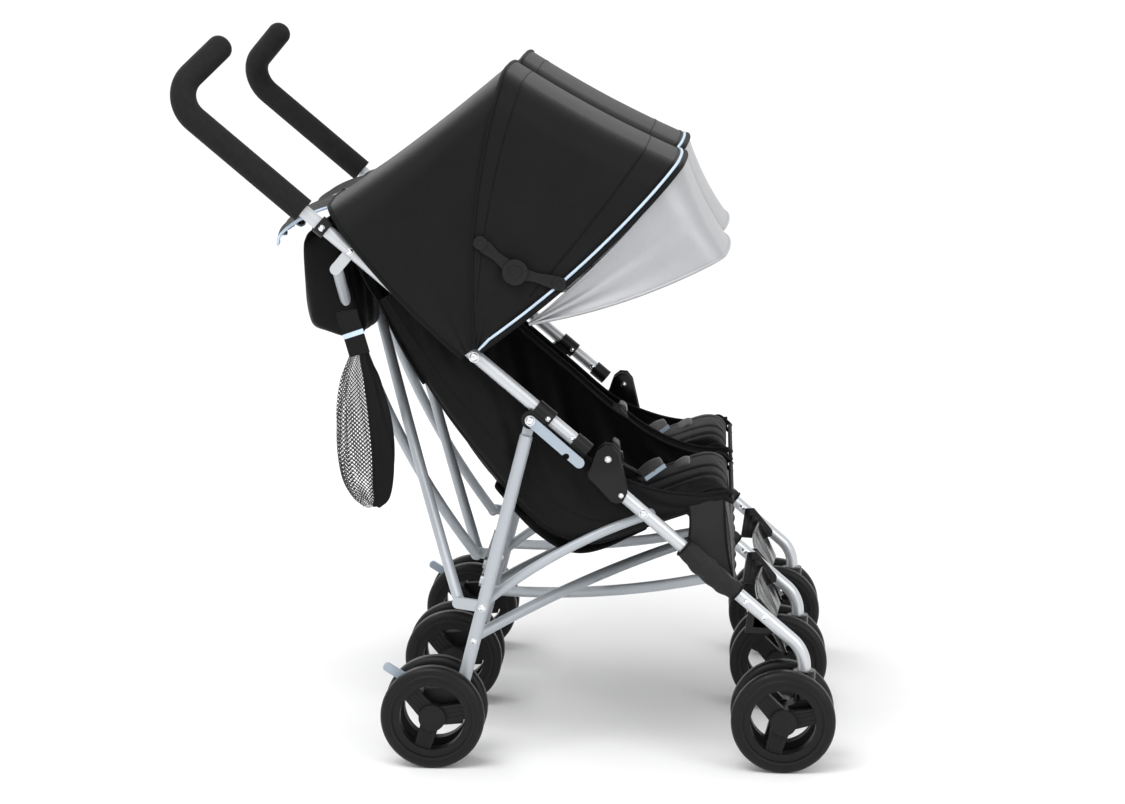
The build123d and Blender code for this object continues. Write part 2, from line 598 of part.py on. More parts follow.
def bow(bay, corner, side):
    """Wire bow from the canopy's pivot over one corner of the canopy; side moves it off the seam."""
    low, high = canopy_sides(bay)
    y0, y1 = low + FABRIC + BOW_D, high - FABRIC - BOW_D
    foot = toward(CANOPY_PIVOT, corner, BOW_FOOT, side)
    head = toward(corner, CANOPY_PIVOT, FABRIC + BOW_D + 4.0, -side)
    return sweep_round([at(foot, y0), at(head, y0), at(head, y1), at(foot, y1)], 30.0, BOW_D)


def canopy_rear(bay):
    outline = [CANOPY_REAR, CANOPY_TOP, CANOPY_PIVOT, CANOPY_LOW]
    return [canopy_shell(bay, outline, (0, 3)), bow(bay, CANOPY_TOP, 8.0)]


def canopy_front(bay):
    gap = SIDE_GAP + 1.0
    outline = [
        (CANOPY_TOP[0] + gap, CANOPY_TOP[1]),
        CANOPY_FRONT,
        (CANOPY_PIVOT[0] + gap + 2.0, CANOPY_PIVOT[1]),
    ]
    return [canopy_shell(bay, outline, (0,)), bow(bay, CANOPY_FRONT, 8.0)]


def canopy_visor(bay):
    rear = toward(CANOPY_PIVOT, CANOPY_FRONT, 20.0, -2.0 * FABRIC)
    front = toward(CANOPY_FRONT, CANOPY_PIVOT, 0, 2.0 * FABRIC)
    outline = [rear, front, VISOR_FRONT, VISOR_LOW]
    return [canopy_shell(bay, outline[::-1], (1,), FABRIC + SOFT_GAP)]


def rear_pocket(bay):
    """Storage pocket that hangs behind the seat's top."""
    right, left = BAYS[bay]
    outline = [(-258, 782), (-300, 772), (-296, 668), (-262, 628), (-256, 640)]
    return plate(outline, (right + left) / 2, PITCH - 60.0)


def mesh_bag():
    """Drawstring mesh bag beside the right-hand handle tube, with its hanging strap."""
    outline = [(-214, 600), (-226, 570), (-240, 500), (-236, 430), (-214, 384), (-190, 376),
               (-168, 400), (-160, 470), (-172, 545), (-196, 600)]
    bag = plate(outline, -PITCH - 8.0, 46.0)
    strap = slab((-205, 600), (-224, 652), FABRIC, -PITCH - 22.0, -PITCH + 4.0)
    return bag + strap


# ---- the whole stroller ---------------------------------------------------------------
def write_frame(name, y, inboard):
    """Nodes of one side frame."""
    handle = centre_handle() if name == "centre" else side_handle(y, inboard)
    fittings = upper_fittings(name, y)
    write(f"{name}_upper_tube", handle, *high_bracket(y).solids())
    write(f"{name}_upper_fittings", *fittings)
    write(f"{name}_rear_leg", *rear_leg(y, inboard))
    write(f"{name}_rear_housing", *rear_housing(y, name != "centre"))
    write(f"{name}_front_leg", front_leg(y))
    write(f"{name}_front_fittings", *knee_plates(y), caster_housing(y))
    write(f"{name}_stay", *stay(y, inboard))
    write(f"{name}_caster_fork", *caster_fork(y))
    write(f"{name}_front_wheels", *wheel_pair(FRONT_AXLE, y))
    write(f"{name}_rear_wheels", *wheel_pair(REAR_AXLE, y))
    if name != "centre":
        write(f"{name}_grip", grip(y, inboard))
        write(f"{name}_brake_lever", *brake_lever(y))


def write_bay(bay):
    """Nodes between two side frames."""
    write(f"{bay}_lower_bar_outer", *lower_bar(bay, bay == "right"))
    write(f"{bay}_lower_bar_inner", *lower_bar(bay, bay != "right"))
    write(f"{bay}_rear_bar_outer", *rear_bar(bay, bay == "right"))
    write(f"{bay}_rear_bar_inner", *rear_bar(bay, bay != "right"))
    write(f"{bay}_strut_right", *lock_strut(bay, 1))
    write(f"{bay}_strut_left", *lock_strut(bay, -1))
    write(f"{bay}_canopy_front", *canopy_front(bay))
    write(f"{bay}_canopy_visor", *canopy_visor(bay))


def write_soft_goods():
    """Fabric nodes that both bays share."""
    for name, make in {
        "seat_backs": seat_back,
        "seat_pans": seat_pan,
        "harness_pads": crotch_pad,
        "calf_panels": calf_panel,
        "footrests": footrest,
        "rear_pockets": rear_pocket,
    }.items():
        write(name, *[make(bay) for bay in BAYS])
    write("canopy_rears", *[solid for bay in BAYS for solid in canopy_rear(bay)])
    write("mesh_bag", mesh_bag())


def build():
    """Write every node."""
    os.makedirs("parts", exist_ok=True)
    for name, (y, inboard) in STATIONS.items():
        write_frame(name, y, inboard)
    for bay in BAYS:
        write_bay(bay)
    write_soft_goods()
    write("transport_hook", *transport_hook())


if __name__ == "__main__":
    build()
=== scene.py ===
"""Side-by-side twin folding stroller: looks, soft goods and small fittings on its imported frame."""

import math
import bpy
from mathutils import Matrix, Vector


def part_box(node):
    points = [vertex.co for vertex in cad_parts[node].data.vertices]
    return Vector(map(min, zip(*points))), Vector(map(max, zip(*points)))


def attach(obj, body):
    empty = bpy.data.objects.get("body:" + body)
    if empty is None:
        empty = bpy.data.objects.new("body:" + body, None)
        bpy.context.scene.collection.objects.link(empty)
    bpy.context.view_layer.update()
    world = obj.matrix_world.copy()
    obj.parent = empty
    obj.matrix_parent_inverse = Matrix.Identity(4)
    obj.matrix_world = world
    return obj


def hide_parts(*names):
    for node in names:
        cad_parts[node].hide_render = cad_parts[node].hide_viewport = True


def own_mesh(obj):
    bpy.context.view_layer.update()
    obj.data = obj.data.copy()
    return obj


bl_info = {
    "name": "Twin folding stroller",
    "version": (1, 0, 0),
    "blender": (4, 5, 0),
    "location": "3D View > Sidebar > Stroller",
    "description": "Builds the canopies, seats, bags, fittings and finishes of a twin folding stroller",
    "category": "Add Mesh",
}

import bmesh
import bpy
import numpy as np
from bpy.props import FloatProperty, FloatVectorProperty, IntProperty, PointerProperty
from mathutils import Vector

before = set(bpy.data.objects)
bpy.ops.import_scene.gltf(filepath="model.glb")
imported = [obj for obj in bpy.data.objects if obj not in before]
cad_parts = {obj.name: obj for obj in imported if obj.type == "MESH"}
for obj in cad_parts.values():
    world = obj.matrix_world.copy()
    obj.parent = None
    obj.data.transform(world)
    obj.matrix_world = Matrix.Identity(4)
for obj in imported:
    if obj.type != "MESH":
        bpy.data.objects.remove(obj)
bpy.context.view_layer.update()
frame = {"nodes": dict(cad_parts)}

PITCH = 0.340
STATIONS = {"right": -PITCH, "centre": 0.0, "left": PITCH}
BAYS = {"right": (-PITCH, 0.0), "left": (0.0, PITCH)}
SLOPE = math.radians(40.2)
HANDLE_REF = (0.076, 0.494)
DOWN = (math.cos(SLOPE), -math.sin(SLOPE))
UNDER = (-math.sin(SLOPE), -math.cos(SLOPE))
TUBE_R = 0.0095


def along_handle(distance, drop=0.0):
    """Side-view point at a distance down the handle tube and a drop below its axis."""
    return tuple(HANDLE_REF[k] + distance * DOWN[k] + drop * UNDER[k] for k in (0, 1))


LEG_PIVOT = along_handle(-0.038, 0.018)
CANOPY_PIVOT = along_handle(-0.157)
KNEE = (0.146, 0.450)
LEG_TOP = (0.1252, 0.4316)
LEG_BEND = (0.428, 0.1717)
REAR_LEG_END = (-0.073, 0.078)
CANOPY_REAR = (-0.250, 0.800)
CANOPY_TOP = (-0.002, 0.991)
CANOPY_FRONT = (0.244, 0.861)
VISOR_APEX = (0.030, 0.641)
VISOR_FRONT = (0.306, 0.738)


# ---- sizes and colours that a user may change ------------------------------------------
class StrollerStage(bpy.types.PropertyGroup):
    """Camera and light."""
    camera_at: FloatVectorProperty(name="Camera at", description="Camera's place", size=3,
                                   default=(0.2925, -4.358, 1.192), subtype="TRANSLATION", unit="LENGTH")
    yaw: FloatProperty(name="Yaw", description="Camera's turn about the upright", default=math.radians(-3.02),
                       subtype="ANGLE", unit="ROTATION")
    tilt: FloatProperty(name="Tilt", description="Camera's tilt, downwards negative",
                        default=math.radians(-9.35), subtype="ANGLE", unit="ROTATION")
    lens: FloatProperty(name="Lens", description="Focal length", default=91.9, unit="CAMERA")
    key_power: FloatProperty(name="Key light", description="Power of the large overhead light",
                             default=62.0, unit="POWER")
    sky: FloatProperty(name="Sky", description="Strength of the even surrounding light", default=1.0, min=0.0)


class StrollerColours(bpy.types.PropertyGroup):
    """Base colours of the finishes."""
    frame: FloatVectorProperty(name="Frame", description="Silver-grey paint of tubes", size=3,
                               default=(0.55, 0.57, 0.59), subtype="COLOR", min=0, max=1)
    bars: FloatVectorProperty(name="Bars", description="Grey paint of crossing bars and rear legs", size=3,
                              default=(0.40, 0.43, 0.46), subtype="COLOR", min=0, max=1)
    plastic: FloatVectorProperty(name="Plastic", description="Moulded black plastic", size=3,
                                 default=(0.010, 0.010, 0.010), subtype="COLOR", min=0, max=1)
    canopy: FloatVectorProperty(name="Canopy", description="Woven canopy cloth", size=3,
                                default=(0.0060, 0.0060, 0.0064), subtype="COLOR", min=0, max=1)
    seat: FloatVectorProperty(name="Seat", description="Woven seat cloth", size=3,
                              default=(0.0045, 0.0045, 0.0048), subtype="COLOR", min=0, max=1)
    visor: FloatVectorProperty(name="Visor", description="Satin visor cloth", size=3,
                               default=(0.40, 0.405, 0.42), subtype="COLOR", min=0, max=1)
    piping: FloatVectorProperty(name="Piping", description="Pale blue piping", size=3,
                                default=(0.56, 0.68, 0.82), subtype="COLOR", min=0, max=1)


class StrollerCanopy(bpy.types.PropertyGroup):
    """Sizes of the canopies."""
    corner: FloatProperty(name="Corner", description="Radius of a bow's upper corners", default=0.050,
                          unit="LENGTH", min=0.01)
    arch: FloatProperty(name="Arch", description="Rise of a bow's middle", default=0.010, unit="LENGTH")
    cloth: FloatProperty(name="Cloth", description="Thickness of the cloth", default=0.0016, unit="LENGTH",
                         min=0.0005)
    sag: FloatProperty(name="Sag", description="Dip of the cloth between bows", default=0.006, unit="LENGTH")
    piping: FloatProperty(name="Piping", description="Radius of the piping", default=0.0021, unit="LENGTH")


class StrollerSeat(bpy.types.PropertyGroup):
    """Sizes of the seats."""
    inset: FloatProperty(name="Inset", description="Seat's side from a frame's plane", default=0.029,
                         unit="LENGTH")
    pad: FloatProperty(name="Pad", description="Thickness of the padding", default=0.016, unit="LENGTH")
    swell: FloatProperty(name="Swell", description="Furthest that a pad swells", default=0.008, unit="LENGTH")
    wing: FloatProperty(name="Wing", description="Outward bulge of a side wing", default=0.010, unit="LENGTH")
    rise: FloatProperty(name="Rise", description="Rise of the inner wings beside the middle frame",
                        default=0.034, unit="LENGTH")
    crown: FloatProperty(name="Crown", description="Rise of a pan's middle", default=0.013, unit="LENGTH")
    steps: IntProperty(name="Steps", description="Simulated frames of a pad", default=20, min=2)


# ---- mesh helpers -----------------------------------------------------------------------
def p3(point, y):
    return np.array([point[0], y, point[1]])


def lerp(a, b, t):
    return tuple(u + (v - u) * t for u, v in zip(a, b))


def mesh_object(name, verts, faces, uvs=None):
    """New object with its place in its mesh."""
    mesh = bpy.data.meshes.new(name)
    mesh.from_pydata([tuple(map(float, v)) for v in verts], [], faces)
    if uvs is not None:
        layer = mesh.uv_layers.new(name="UVMap")
        flat = np.array([uvs[loop.vertex_index] for loop in mesh.loops], np.float32)
        layer.data.foreach_set("uv", flat.ravel())
    mesh.validate()
    piece = bpy.data.objects.new(name, mesh)
    bpy.context.scene.collection.objects.link(piece)
    return piece


def smooth(piece, limit=35.0):
    """Smooth faces with edges sharper than the limit kept crisp."""
    bm = bmesh.new()
    bm.from_mesh(piece.data)
    for face in bm.faces:
        face.smooth = True
    for edge in bm.edges:
        edge.smooth = len(edge.link_faces) == 2 and edge.calc_face_angle(3.14) < math.radians(limit)
    bm.to_mesh(piece.data)
    bm.free()
    return piece


def outward(piece):
    """Merged doubles and normals that point out."""
    bm = bmesh.new()
    bm.from_mesh(piece.data)
    bmesh.ops.remove_doubles(bm, verts=bm.verts, dist=1e-6)
    bmesh.ops.recalc_face_normals(bm, faces=bm.faces)
    bm.to_mesh(piece.data)
    bm.free()
    return piece


def settle(piece):
    """Replace a piece's mesh by its evaluated one and clear its modifiers."""
    bpy.context.view_layer.update()
    graph = bpy.context.evaluated_depsgraph_get()
    made = bpy.data.meshes.new_from_object(piece.evaluated_get(graph))
    piece.modifiers.clear()
    piece.data = made
    return piece


def thicken(piece, thickness, offset=0.0, rounds=0):
    """Sheet turned into cloth of a thickness, with optional subdivision."""
    if rounds:
        sub = piece.modifiers.new("rounds", "SUBSURF")
        sub.levels = sub.render_levels = rounds
    wall = piece.modifiers.new("wall", "SOLIDIFY")
    wall.thickness = thickness
    wall.offset = offset
    return smooth(settle(piece), 50.0)


def grid(name, rows, close=False):
    """Grid mesh over rows of points, with a map in metres along both directions."""
    rows = np.array(rows, float)
    n, m = rows.shape[:2]
    across = np.concatenate([[0], np.cumsum(np.linalg.norm(np.diff(rows.mean(0), axis=0), axis=1))])
    steps = np.linalg.norm(np.diff(rows, axis=0), axis=2).max(1)
    along = np.concatenate([[0], np.cumsum(steps)])
    verts = rows.reshape(-1, 3)
    faces = []
    for i in range(n - 1):
        for j in range(m if close else m - 1):
            k = (j + 1) % m
            faces.append((i * m + j, i * m + k, (i + 1) * m + k, (i + 1) * m + j))
    uvs = [(across[j], along[i]) for i in range(n) for j in range(m)]
    return mesh_object(name, verts, faces, uvs)


def resample(points, count):
    """Evenly spaced points along a polyline."""
    points = np.array(points, float)
    run = np.concatenate([[0], np.cumsum(np.linalg.norm(np.diff(points, axis=0), axis=1))])
    at = np.linspace(0, run[-1], count)
    return np.stack([np.interp(at, run, points[:, k]) for k in range(points.shape[1])], 1)


def curve_through(points, count):
    """Smooth Catmull-Rom line through points, evenly spaced."""
    pts = np.array(points, float)
    pts = np.vstack([2 * pts[0] - pts[1], pts, 2 * pts[-1] - pts[-2]])
    out = []
    for i in range(1, len(pts) - 2):
        a, b, c, d = pts[i - 1:i + 3]
        for t in np.linspace(0, 1, 14, endpoint=False):
            out.append(0.5 * (2 * b + (c - a) * t + (2 * a - 5 * b + 4 * c - d) * t * t
                              + (3 * b - a - 3 * c + d) * t ** 3))
    out.append(pts[-2])
    return resample(out, count)


def sweep(name, points, section, up=(0, 1, 0)):
    """Closed solid of a section (pairs across and up) swept along points, capped at both ends."""
    points = np.array(points, float)
    up = np.array(up, float)
    tangents = np.gradient(points, axis=0)
    tangents /= np.linalg.norm(tangents, axis=1)[:, None] + 1e-12
    rows, side = [], None
    for point, tangent in zip(points, tangents):
        flat = np.cross(tangent, up)
        if np.linalg.norm(flat) < 0.05:
            flat = side if side is not None else np.cross(tangent, (1, 0, 0.3))
        side = flat / np.linalg.norm(flat)
        rise = np.cross(side, tangent)
        rows.append([point + side * a + rise * b for a, b in section])
    m, n = len(section), len(rows)
    verts = [v for row in rows for v in row] + [points[0], points[-1]]
    faces = [(i * m + j, i * m + (j + 1) % m, (i + 1) * m + (j + 1) % m, (i + 1) * m + j)
             for i in range(n - 1) for j in range(m)]
    faces += [(n * m, (j + 1) % m, j) for j in range(m)]
    faces += [(n * m + 1, (n - 1) * m + j, (n - 1) * m + (j + 1) % m) for j in range(m)]
    return smooth(outward(mesh_object(name, verts, faces)), 45.0)


def round_section(radius, sides=10, flat=1.0):
    """Round or flattened section."""
    turn = [2 * math.pi * k / sides for k in range(sides)]
    return [(radius * math.cos(a), radius * flat * math.sin(a)) for a in turn]


def strap_section(width, thickness):
    """Flat webbing section with soft edges."""
    w, t = width / 2, thickness / 2
    return [(-w, -t * 0.4), (-w * 0.94, -t), (w * 0.94, -t), (w, -t * 0.4),
            (w, t * 0.4), (w * 0.94, t), (-w * 0.94, t), (-w, t * 0.4)]


def join(name, pieces):
    """Several pieces as one mesh."""
    bm = bmesh.new()
    for piece in pieces:
        bm.from_mesh(piece.data)
    mesh = bpy.data.meshes.new(name)
    bm.to_mesh(mesh)
    bm.free()
    for piece in pieces:
        bpy.data.objects.remove(piece)
    made = bpy.data.objects.new(name, mesh)
    bpy.context.scene.collection.objects.link(made)
    return made


def slab(name, outline, y0, y1, bevel=0.0, segments=2):
    """Flat solid with a side-view outline between two depths and softened edges."""
    n = len(outline)
    verts = [p3(q, y0) for q in outline] + [p3(q, y1) for q in outline]
    faces = [tuple(range(n)), tuple(range(2 * n - 1, n - 1, -1))]
    faces += [(k, (k + 1) % n, n + (k + 1) % n, n + k) for k in range(n)]
    piece = outward(mesh_object(name, verts, faces))
    if bevel:
        edge = piece.modifiers.new("edge", "BEVEL")
        edge.width = bevel
        edge.segments = segments
        edge.limit_method = "ANGLE"
        piece = settle(piece)
    return smooth(piece, 40.0)


def place(piece, finish, body, replaces=(), folds=True):
    """Finish and body of a piece, the frame parts that it replaces hidden, and a mesh of its own unless folds
    is off.
    """
    piece.data.materials.clear()
    piece.data.materials.append(finish)
    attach(piece, body)
    if replaces:
        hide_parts(*replaces)
    if folds:
        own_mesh(piece)
    return piece


# ---- shader helpers ---------------------------------------------------------------------
class Wire:
    """A shader socket that takes part in sums and products."""

    def __init__(self, tree, socket):
        self.tree = tree
        self.socket = socket

    def maths(self, operation, other, turned=False):
        node = self.tree.nodes.new("ShaderNodeMath")
        node.operation = operation
        pair = (other, self) if turned else (self, other)
        for slot, value in zip(node.inputs, pair):
            if isinstance(value, Wire):
                self.tree.links.new(value.socket, slot)
            else:
                slot.default_value = value
        return Wire(self.tree, node.outputs[0])

    def __add__(self, other):
        return self.maths("ADD", other)

    def __sub__(self, other):
        return self.maths("SUBTRACT", other)

    def __rsub__(self, other):
        return self.maths("SUBTRACT", other, True)

    def __mul__(self, other):
        return self.maths("MULTIPLY", other)

    __radd__ = __add__


class Finish:
    """A material with its Principled shader and a way to add nodes."""

    def __init__(self, name, colour, roughness, **constants):
        self.material = bpy.data.materials.new(name)
        self.material.use_nodes = True
        self.tree = self.material.node_tree
        self.shader = self.tree.nodes["Principled BSDF"]
        self.shader.inputs["Base Color"].default_value = (*colour, 1.0)
        self.shader.inputs["Roughness"].default_value = roughness
        for key, value in constants.items():
            self.shader.inputs[key.replace("_", " ")].default_value = value

    def node(self, kind, settings=None, out=0, **values):
        """New node with its settings, then its sockets; a Wire for one output."""
        node = self.tree.nodes.new("ShaderNode" + kind)
        for key, value in (settings or {}).items():
            if key == "stops":
                ramp = node.color_ramp
                while len(ramp.elements) > 2:
                    ramp.elements.remove(ramp.elements[0])
                for element, (at, shade) in zip(ramp.elements, value):
                    element.position = at
                    element.color = (*shade, 1.0)
            else:
                setattr(node, key, value)
        for key, value in values.items():
            slot = node.inputs[int(key[1:])] if key[0] == "_" else node.inputs[key.replace("_", " ")]
            if isinstance(value, Wire):
                self.tree.links.new(value.socket, slot)
            else:
                slot.default_value = value
        return Wire(self.tree, node.outputs[out])

    def place(self, scale=(1, 1, 1), turn=(0, 0, 0)):
        """Object coordinates, scaled and turned."""
        here = self.node("TexCoord", out=3)
        return self.node("Mapping", Vector=here, Scale=scale, Rotation=turn)

    def noise(self, scale, detail=3.0, stretch=(1, 1, 1), turn=(0, 0, 0)):
        return self.node("TexNoise", Vector=self.place(stretch, turn), Scale=scale, Detail=detail)

    def weave(self, pitch):
        """Plain weave height from object coordinates, the same on every face direction."""
        here = self.place((1, 1, 1))
        parts = self.node("SeparateXYZ", Vector=here)
        node = parts.socket.node
        waves = [Wire(self.tree, node.outputs[k]) * (2 * math.pi / pitch) for k in range(3)]
        waves = [w.maths("SINE", 0.0) for w in waves]
        return waves[0] * waves[1] + waves[1] * waves[2] + waves[0] * waves[2]

    def bump(self, height, distance, strength=1.0):
        bumped = self.node("Bump", Height=height, Distance=distance, Strength=strength)
        self.tree.links.new(bumped.socket, self.shader.inputs["Normal"])

    def vary(self, slot, low, high, amount):
        """Roughness or another number that runs from low to high with an amount."""
        self.tree.links.new((low + amount * (high - low)).socket, self.shader.inputs[slot])

    def tint(self, dark, light, amount):
        """Base colour between two colours."""
        mixed = self.node("Mix", {"data_type": "RGBA"}, out=2, _0=amount, _6=(*dark, 1), _7=(*light, 1))
        self.tree.links.new(mixed.socket, self.shader.inputs["Base Color"])


FINISHES = {}


def shade(colour, factor):
    return tuple(min(1.0, c * factor) for c in colour)


def painted(name, colour, roughness, metallic):
    """Satin metallic paint with a faint orange-peel and rubbed patches."""
    f = Finish(name, colour, roughness, Metallic=metallic, Coat_Roughness=0.22)
    f.shader.inputs["Coat Weight"].default_value = 0.25
    cloud = f.noise(9.0, 4.0)
    f.tint(shade(colour, 0.93), shade(colour, 1.06), cloud)
    f.vary("Roughness", roughness - 0.05, roughness + 0.09, f.noise(55.0, 5.0))
    f.bump(f.noise(700.0, 2.0), 0.00012, 0.35)
    return f.material


def moulded(name, colour, roughness, grain=1600.0, gloss=0.22):
    """Moulded plastic with a fine spark-eroded grain."""
    f = Finish(name, colour, roughness, Specular_IOR_Level=gloss)
    f.tint(shade(colour, 0.8), shade(colour, 1.35), f.noise(14.0, 4.0))
    f.vary("Roughness", roughness - 0.06, roughness + 0.10, f.noise(70.0, 4.0))
    f.bump(f.noise(grain, 2.0), 0.00010, 0.5)
    return f.material


def cloth(name, colour, roughness, pitch, sheen, wrinkle=0.0012, light=1.5, gloss=0.10):
    """Woven cloth with a fine weave, soft creases and sheen; its colour carries painted shade in the crease
    hollows and a painted highlight on their crests, with random slub tone.
    """
    f = Finish(name, colour, roughness, Sheen_Weight=sheen, Sheen_Roughness=0.45, Specular_IOR_Level=gloss)
    creases = f.noise(16.0, 4.0, (1.0, 0.7, 1.0), (0.0, 0.5, 0.3))
    slub = f.noise(420.0, 2.0, (1.0, 1.0, 0.25))
    # painted shade and highlight: the noise that bumps the creases also darkens the colour in their hollows
    # and lightens it, up to the factor light, on their crests; the slub part is random yarn tone
    f.tint(shade(colour, 0.8), shade(colour, light), creases * 0.7 + slub * 0.3)
    f.vary("Roughness", roughness - 0.08, roughness + 0.08, slub)
    weave = f.weave(pitch)
    f.bump(creases * (wrinkle / 0.0015) + weave * 0.03 + slub * 0.03, 0.0015, 0.8)
    return f.material


def metal(name, colour, roughness, streak=0.0):
    """Bright metal with light tool marks."""
    f = Finish(name, colour, roughness, Metallic=1.0)
    marks = f.noise(240.0, 4.0, (1.0, 1.0, 6.0))
    f.tint(shade(colour, 0.85), shade(colour, 1.1), f.noise(40.0, 5.0))
    f.vary("Roughness", roughness - 0.05, roughness + 0.15, marks)
    f.bump(marks, 0.0001, 0.2 + streak)
    return f.material


def foam():
    """Closed-cell grip foam."""
    colours = bpy.context.scene.stroller_colours
    f = Finish("foam", shade(colours.plastic, 0.9), 0.78, Sheen_Weight=0.03, Specular_IOR_Level=0.10)
    cells = f.node("TexVoronoi", Vector=f.place(), Scale=650.0)
    f.tint(shade(colours.plastic, 0.8), shade(colours.plastic, 1.7), f.noise(120.0, 5.0))
    f.bump(cells, 0.0005, 0.5)
    return f.material


def netting():
    """Open net: threads with diamond holes."""
    f = Finish("netting", (0.016, 0.016, 0.017), 0.7)
    uv = f.node("UVMap")
    parts = f.node("SeparateXYZ", Vector=uv).socket.node
    u = Wire(f.tree, parts.outputs[0])
    v = Wire(f.tree, parts.outputs[1])
    pitch = 2 * math.pi / 0.0096
    one = ((u + v * 0.8) * pitch).maths("SINE", 0.0)
    two = ((u - v * 0.8) * pitch).maths("SINE", 0.0)
    holes = (one * two).maths("ABSOLUTE", 0.0)
    solid = holes.maths("LESS_THAN", 0.30)
    f.tree.links.new(solid.socket, f.shader.inputs["Alpha"])
    f.bump(1.0 - holes, 0.0006, 0.8)
    return f.material


# ---- finishes ---------------------------------------------------------------------------
class STROLLER_OT_finishes(bpy.types.Operator):
    """Make every finish and put it on the frame's own parts"""
    bl_idname = "stroller.finishes"
    bl_label = "Finishes"

    def execute(self, context):
        c = context.scene.stroller_colours
        FINISHES.update(
            frame=painted("frame_paint", c.frame, 0.30, 0.55),
            bars=painted("bar_paint", c.bars, 0.42, 0.30),
            plastic=moulded("black_plastic", shade(c.plastic, 0.7), 0.36),
            glossy=moulded("glossy_plastic", shade(c.plastic, 0.4), 0.18, 300.0, 0.26),
            wheel=moulded("wheel_plastic", shade(c.plastic, 0.6), 0.40, 1600.0, 0.20),
            tyre=moulded("tyre_rubber", shade(c.plastic, 0.7), 0.50, 900.0, 0.20),
            lever=painted("lever_paint", (0.34, 0.40, 0.46), 0.42, 0.25),
            zinc=metal("zinc", (0.60, 0.63, 0.66), 0.30, 0.3),
            chrome=metal("chrome", (0.80, 0.81, 0.83), 0.14),
            foam=foam(),
            canopy=cloth("canopy_cloth", c.canopy, 0.46, 0.0011, 0.02, 0.0007),
            seat=cloth("seat_cloth", c.seat, 0.58, 0.0013, 0.02, 0.0012),
            binding=cloth("binding", shade(c.canopy, 0.8), 0.60, 0.0009, 0.01, 0.0003),
            visor=cloth("visor_cloth", c.visor, 0.34, 0.0010, 0.0, 0.0010, 1.04, 0.5),
            panel=cloth("panel_cloth", (0.017, 0.017, 0.018), 0.50, 0.0012, 0.06, 0.0010),
            harness=cloth("harness_satin", (0.060, 0.056, 0.058), 0.34, 0.0010, 0.2, 0.0010),
            webbing=cloth("webbing", (0.007, 0.007, 0.007), 0.60, 0.0016, 0.02, 0.0002),
            piping=cloth("piping", c.piping, 0.45, 0.0008, 0.1, 0.0001, 1.1),
            netting=netting(),
        )
        FINISHES["visor"].node_tree.nodes["Principled BSDF"].inputs["Metallic"].default_value = 0.25
        rules = (("_grip", "foam"), ("_wheels", "wheel"), ("_lever", "lever"), ("hook", "lever"),
                 ("_strut_", "zinc"), ("_bar_", "bars"), ("_rear_leg", "bars"), ("_stay", "bars"),
                 ("upper_tube", "frame"), ("front_leg", "frame"),
                 ("front_fittings", "glossy"))
        for name, node in frame["nodes"].items():
            pick = next((key for part, key in rules if part in name), "plastic")
            node.data.materials.clear()
            node.data.materials.append(FINISHES[pick])
        return {"FINISHED"}


# ---- canopies ---------------------------------------------------------------------------
def hoop(foot, head, y0, y1, corner, arch, bulge=0.0, sink=0.0, pull=0.0, n=16):
    """Points of one bow line: up one side, across with an arch, and down the other side."""
    foot, head = np.array(foot), np.array(head)
    run = head - foot
    length = np.linalg.norm(run)
    d = run / length
    square = np.array([d[1], -d[0]])
    middle, half = (y0 + y1) / 2, (y1 - y0) / 2
    path = [(a, y0) for a in np.linspace(0, length - corner, n)[:-1]]
    for t in np.linspace(0, math.pi / 2, 7):
        path.append((length - corner + corner * math.sin(t), y0 + corner - corner * math.cos(t)))
    path += [(length, y) for y in np.linspace(y0 + corner, y1 - corner, 2 * n)[1:-1]]
    for t in np.linspace(math.pi / 2, 0, 7):
        path.append((length - corner + corner * math.sin(t), y1 - corner + corner * math.cos(t)))
    path += [(a, y1) for a in np.linspace(length - corner, 0, n)[1:]]
    points = []
    for a, y in path:
        t = min(1.0, a / length)
        rise = (arch * (1 - ((y - middle) / half) ** 2) - sink) * t ** 3
        q = foot + d * (a + rise) + square * bulge * 4 * t * (1 - t)
        inward = pull * math.sin(math.pi * min(1, t * 1.02)) * (-1 if y > middle else 1)
        edge = min(1.0, abs(y - middle) / half) ** 8
        points.append((q[0], y + inward * edge, q[1]))
    return points


def canopy_sides(bay, out):
    """Depths of a canopy's two sides."""
    reach = 0.0140 + out
    low, high = BAYS[bay]
    return (low - reach if low < 0 else low + 0.0140 - out, high + reach if high > 0 else high - 0.0140 + out)


CANOPY_SKIRT = along_handle(-0.157, 0.014)
CANOPY_PARTS = {
    "rear": {"feet": (CANOPY_SKIRT, CANOPY_PIVOT), "heads": (CANOPY_REAR, CANOPY_TOP),
             "bulge": (-0.009, -0.019), "out": 0.0, "gather": 0.012},
    "front": {"feet": (CANOPY_PIVOT, CANOPY_PIVOT), "heads": (CANOPY_TOP, CANOPY_FRONT),
              "bulge": (-0.019, 0.013), "out": 0.0025, "gather": 0.012},
    "visor": {"feet": (VISOR_APEX, VISOR_APEX), "heads": (CANOPY_FRONT, VISOR_FRONT),
              "bulge": (0.010, 0.012), "out": -0.004, "gather": 0.004, "corner": 0.022},
}


def canopy_line(bay, part, share, out=0.0, n=16):
    """Bow line at a share of the way across one part of a canopy."""
    settings = bpy.context.scene.stroller_canopy
    spec = CANOPY_PARTS[part]
    y0, y1 = canopy_sides(bay, spec["out"] + out)
    head = lerp(*spec["heads"], share)
    foot = lerp(*spec["feet"], share)
    away = np.array(head) - np.array(foot)
    away = away / np.linalg.norm(away)
    foot = tuple(np.array(foot) + away * spec["gather"])
    head = tuple(np.array(head) + away * out)
    between = 4 * share * (1 - share)
    bulge = spec["bulge"][0] * (1 - share) ** 2 + spec["bulge"][1] * share ** 2
    corner = settings.corner + (spec.get("corner", settings.corner) - settings.corner) * share
    return hoop(foot, head, y0, y1, corner, settings.arch, bulge, settings.sag * between,
                0.007 * between, n)


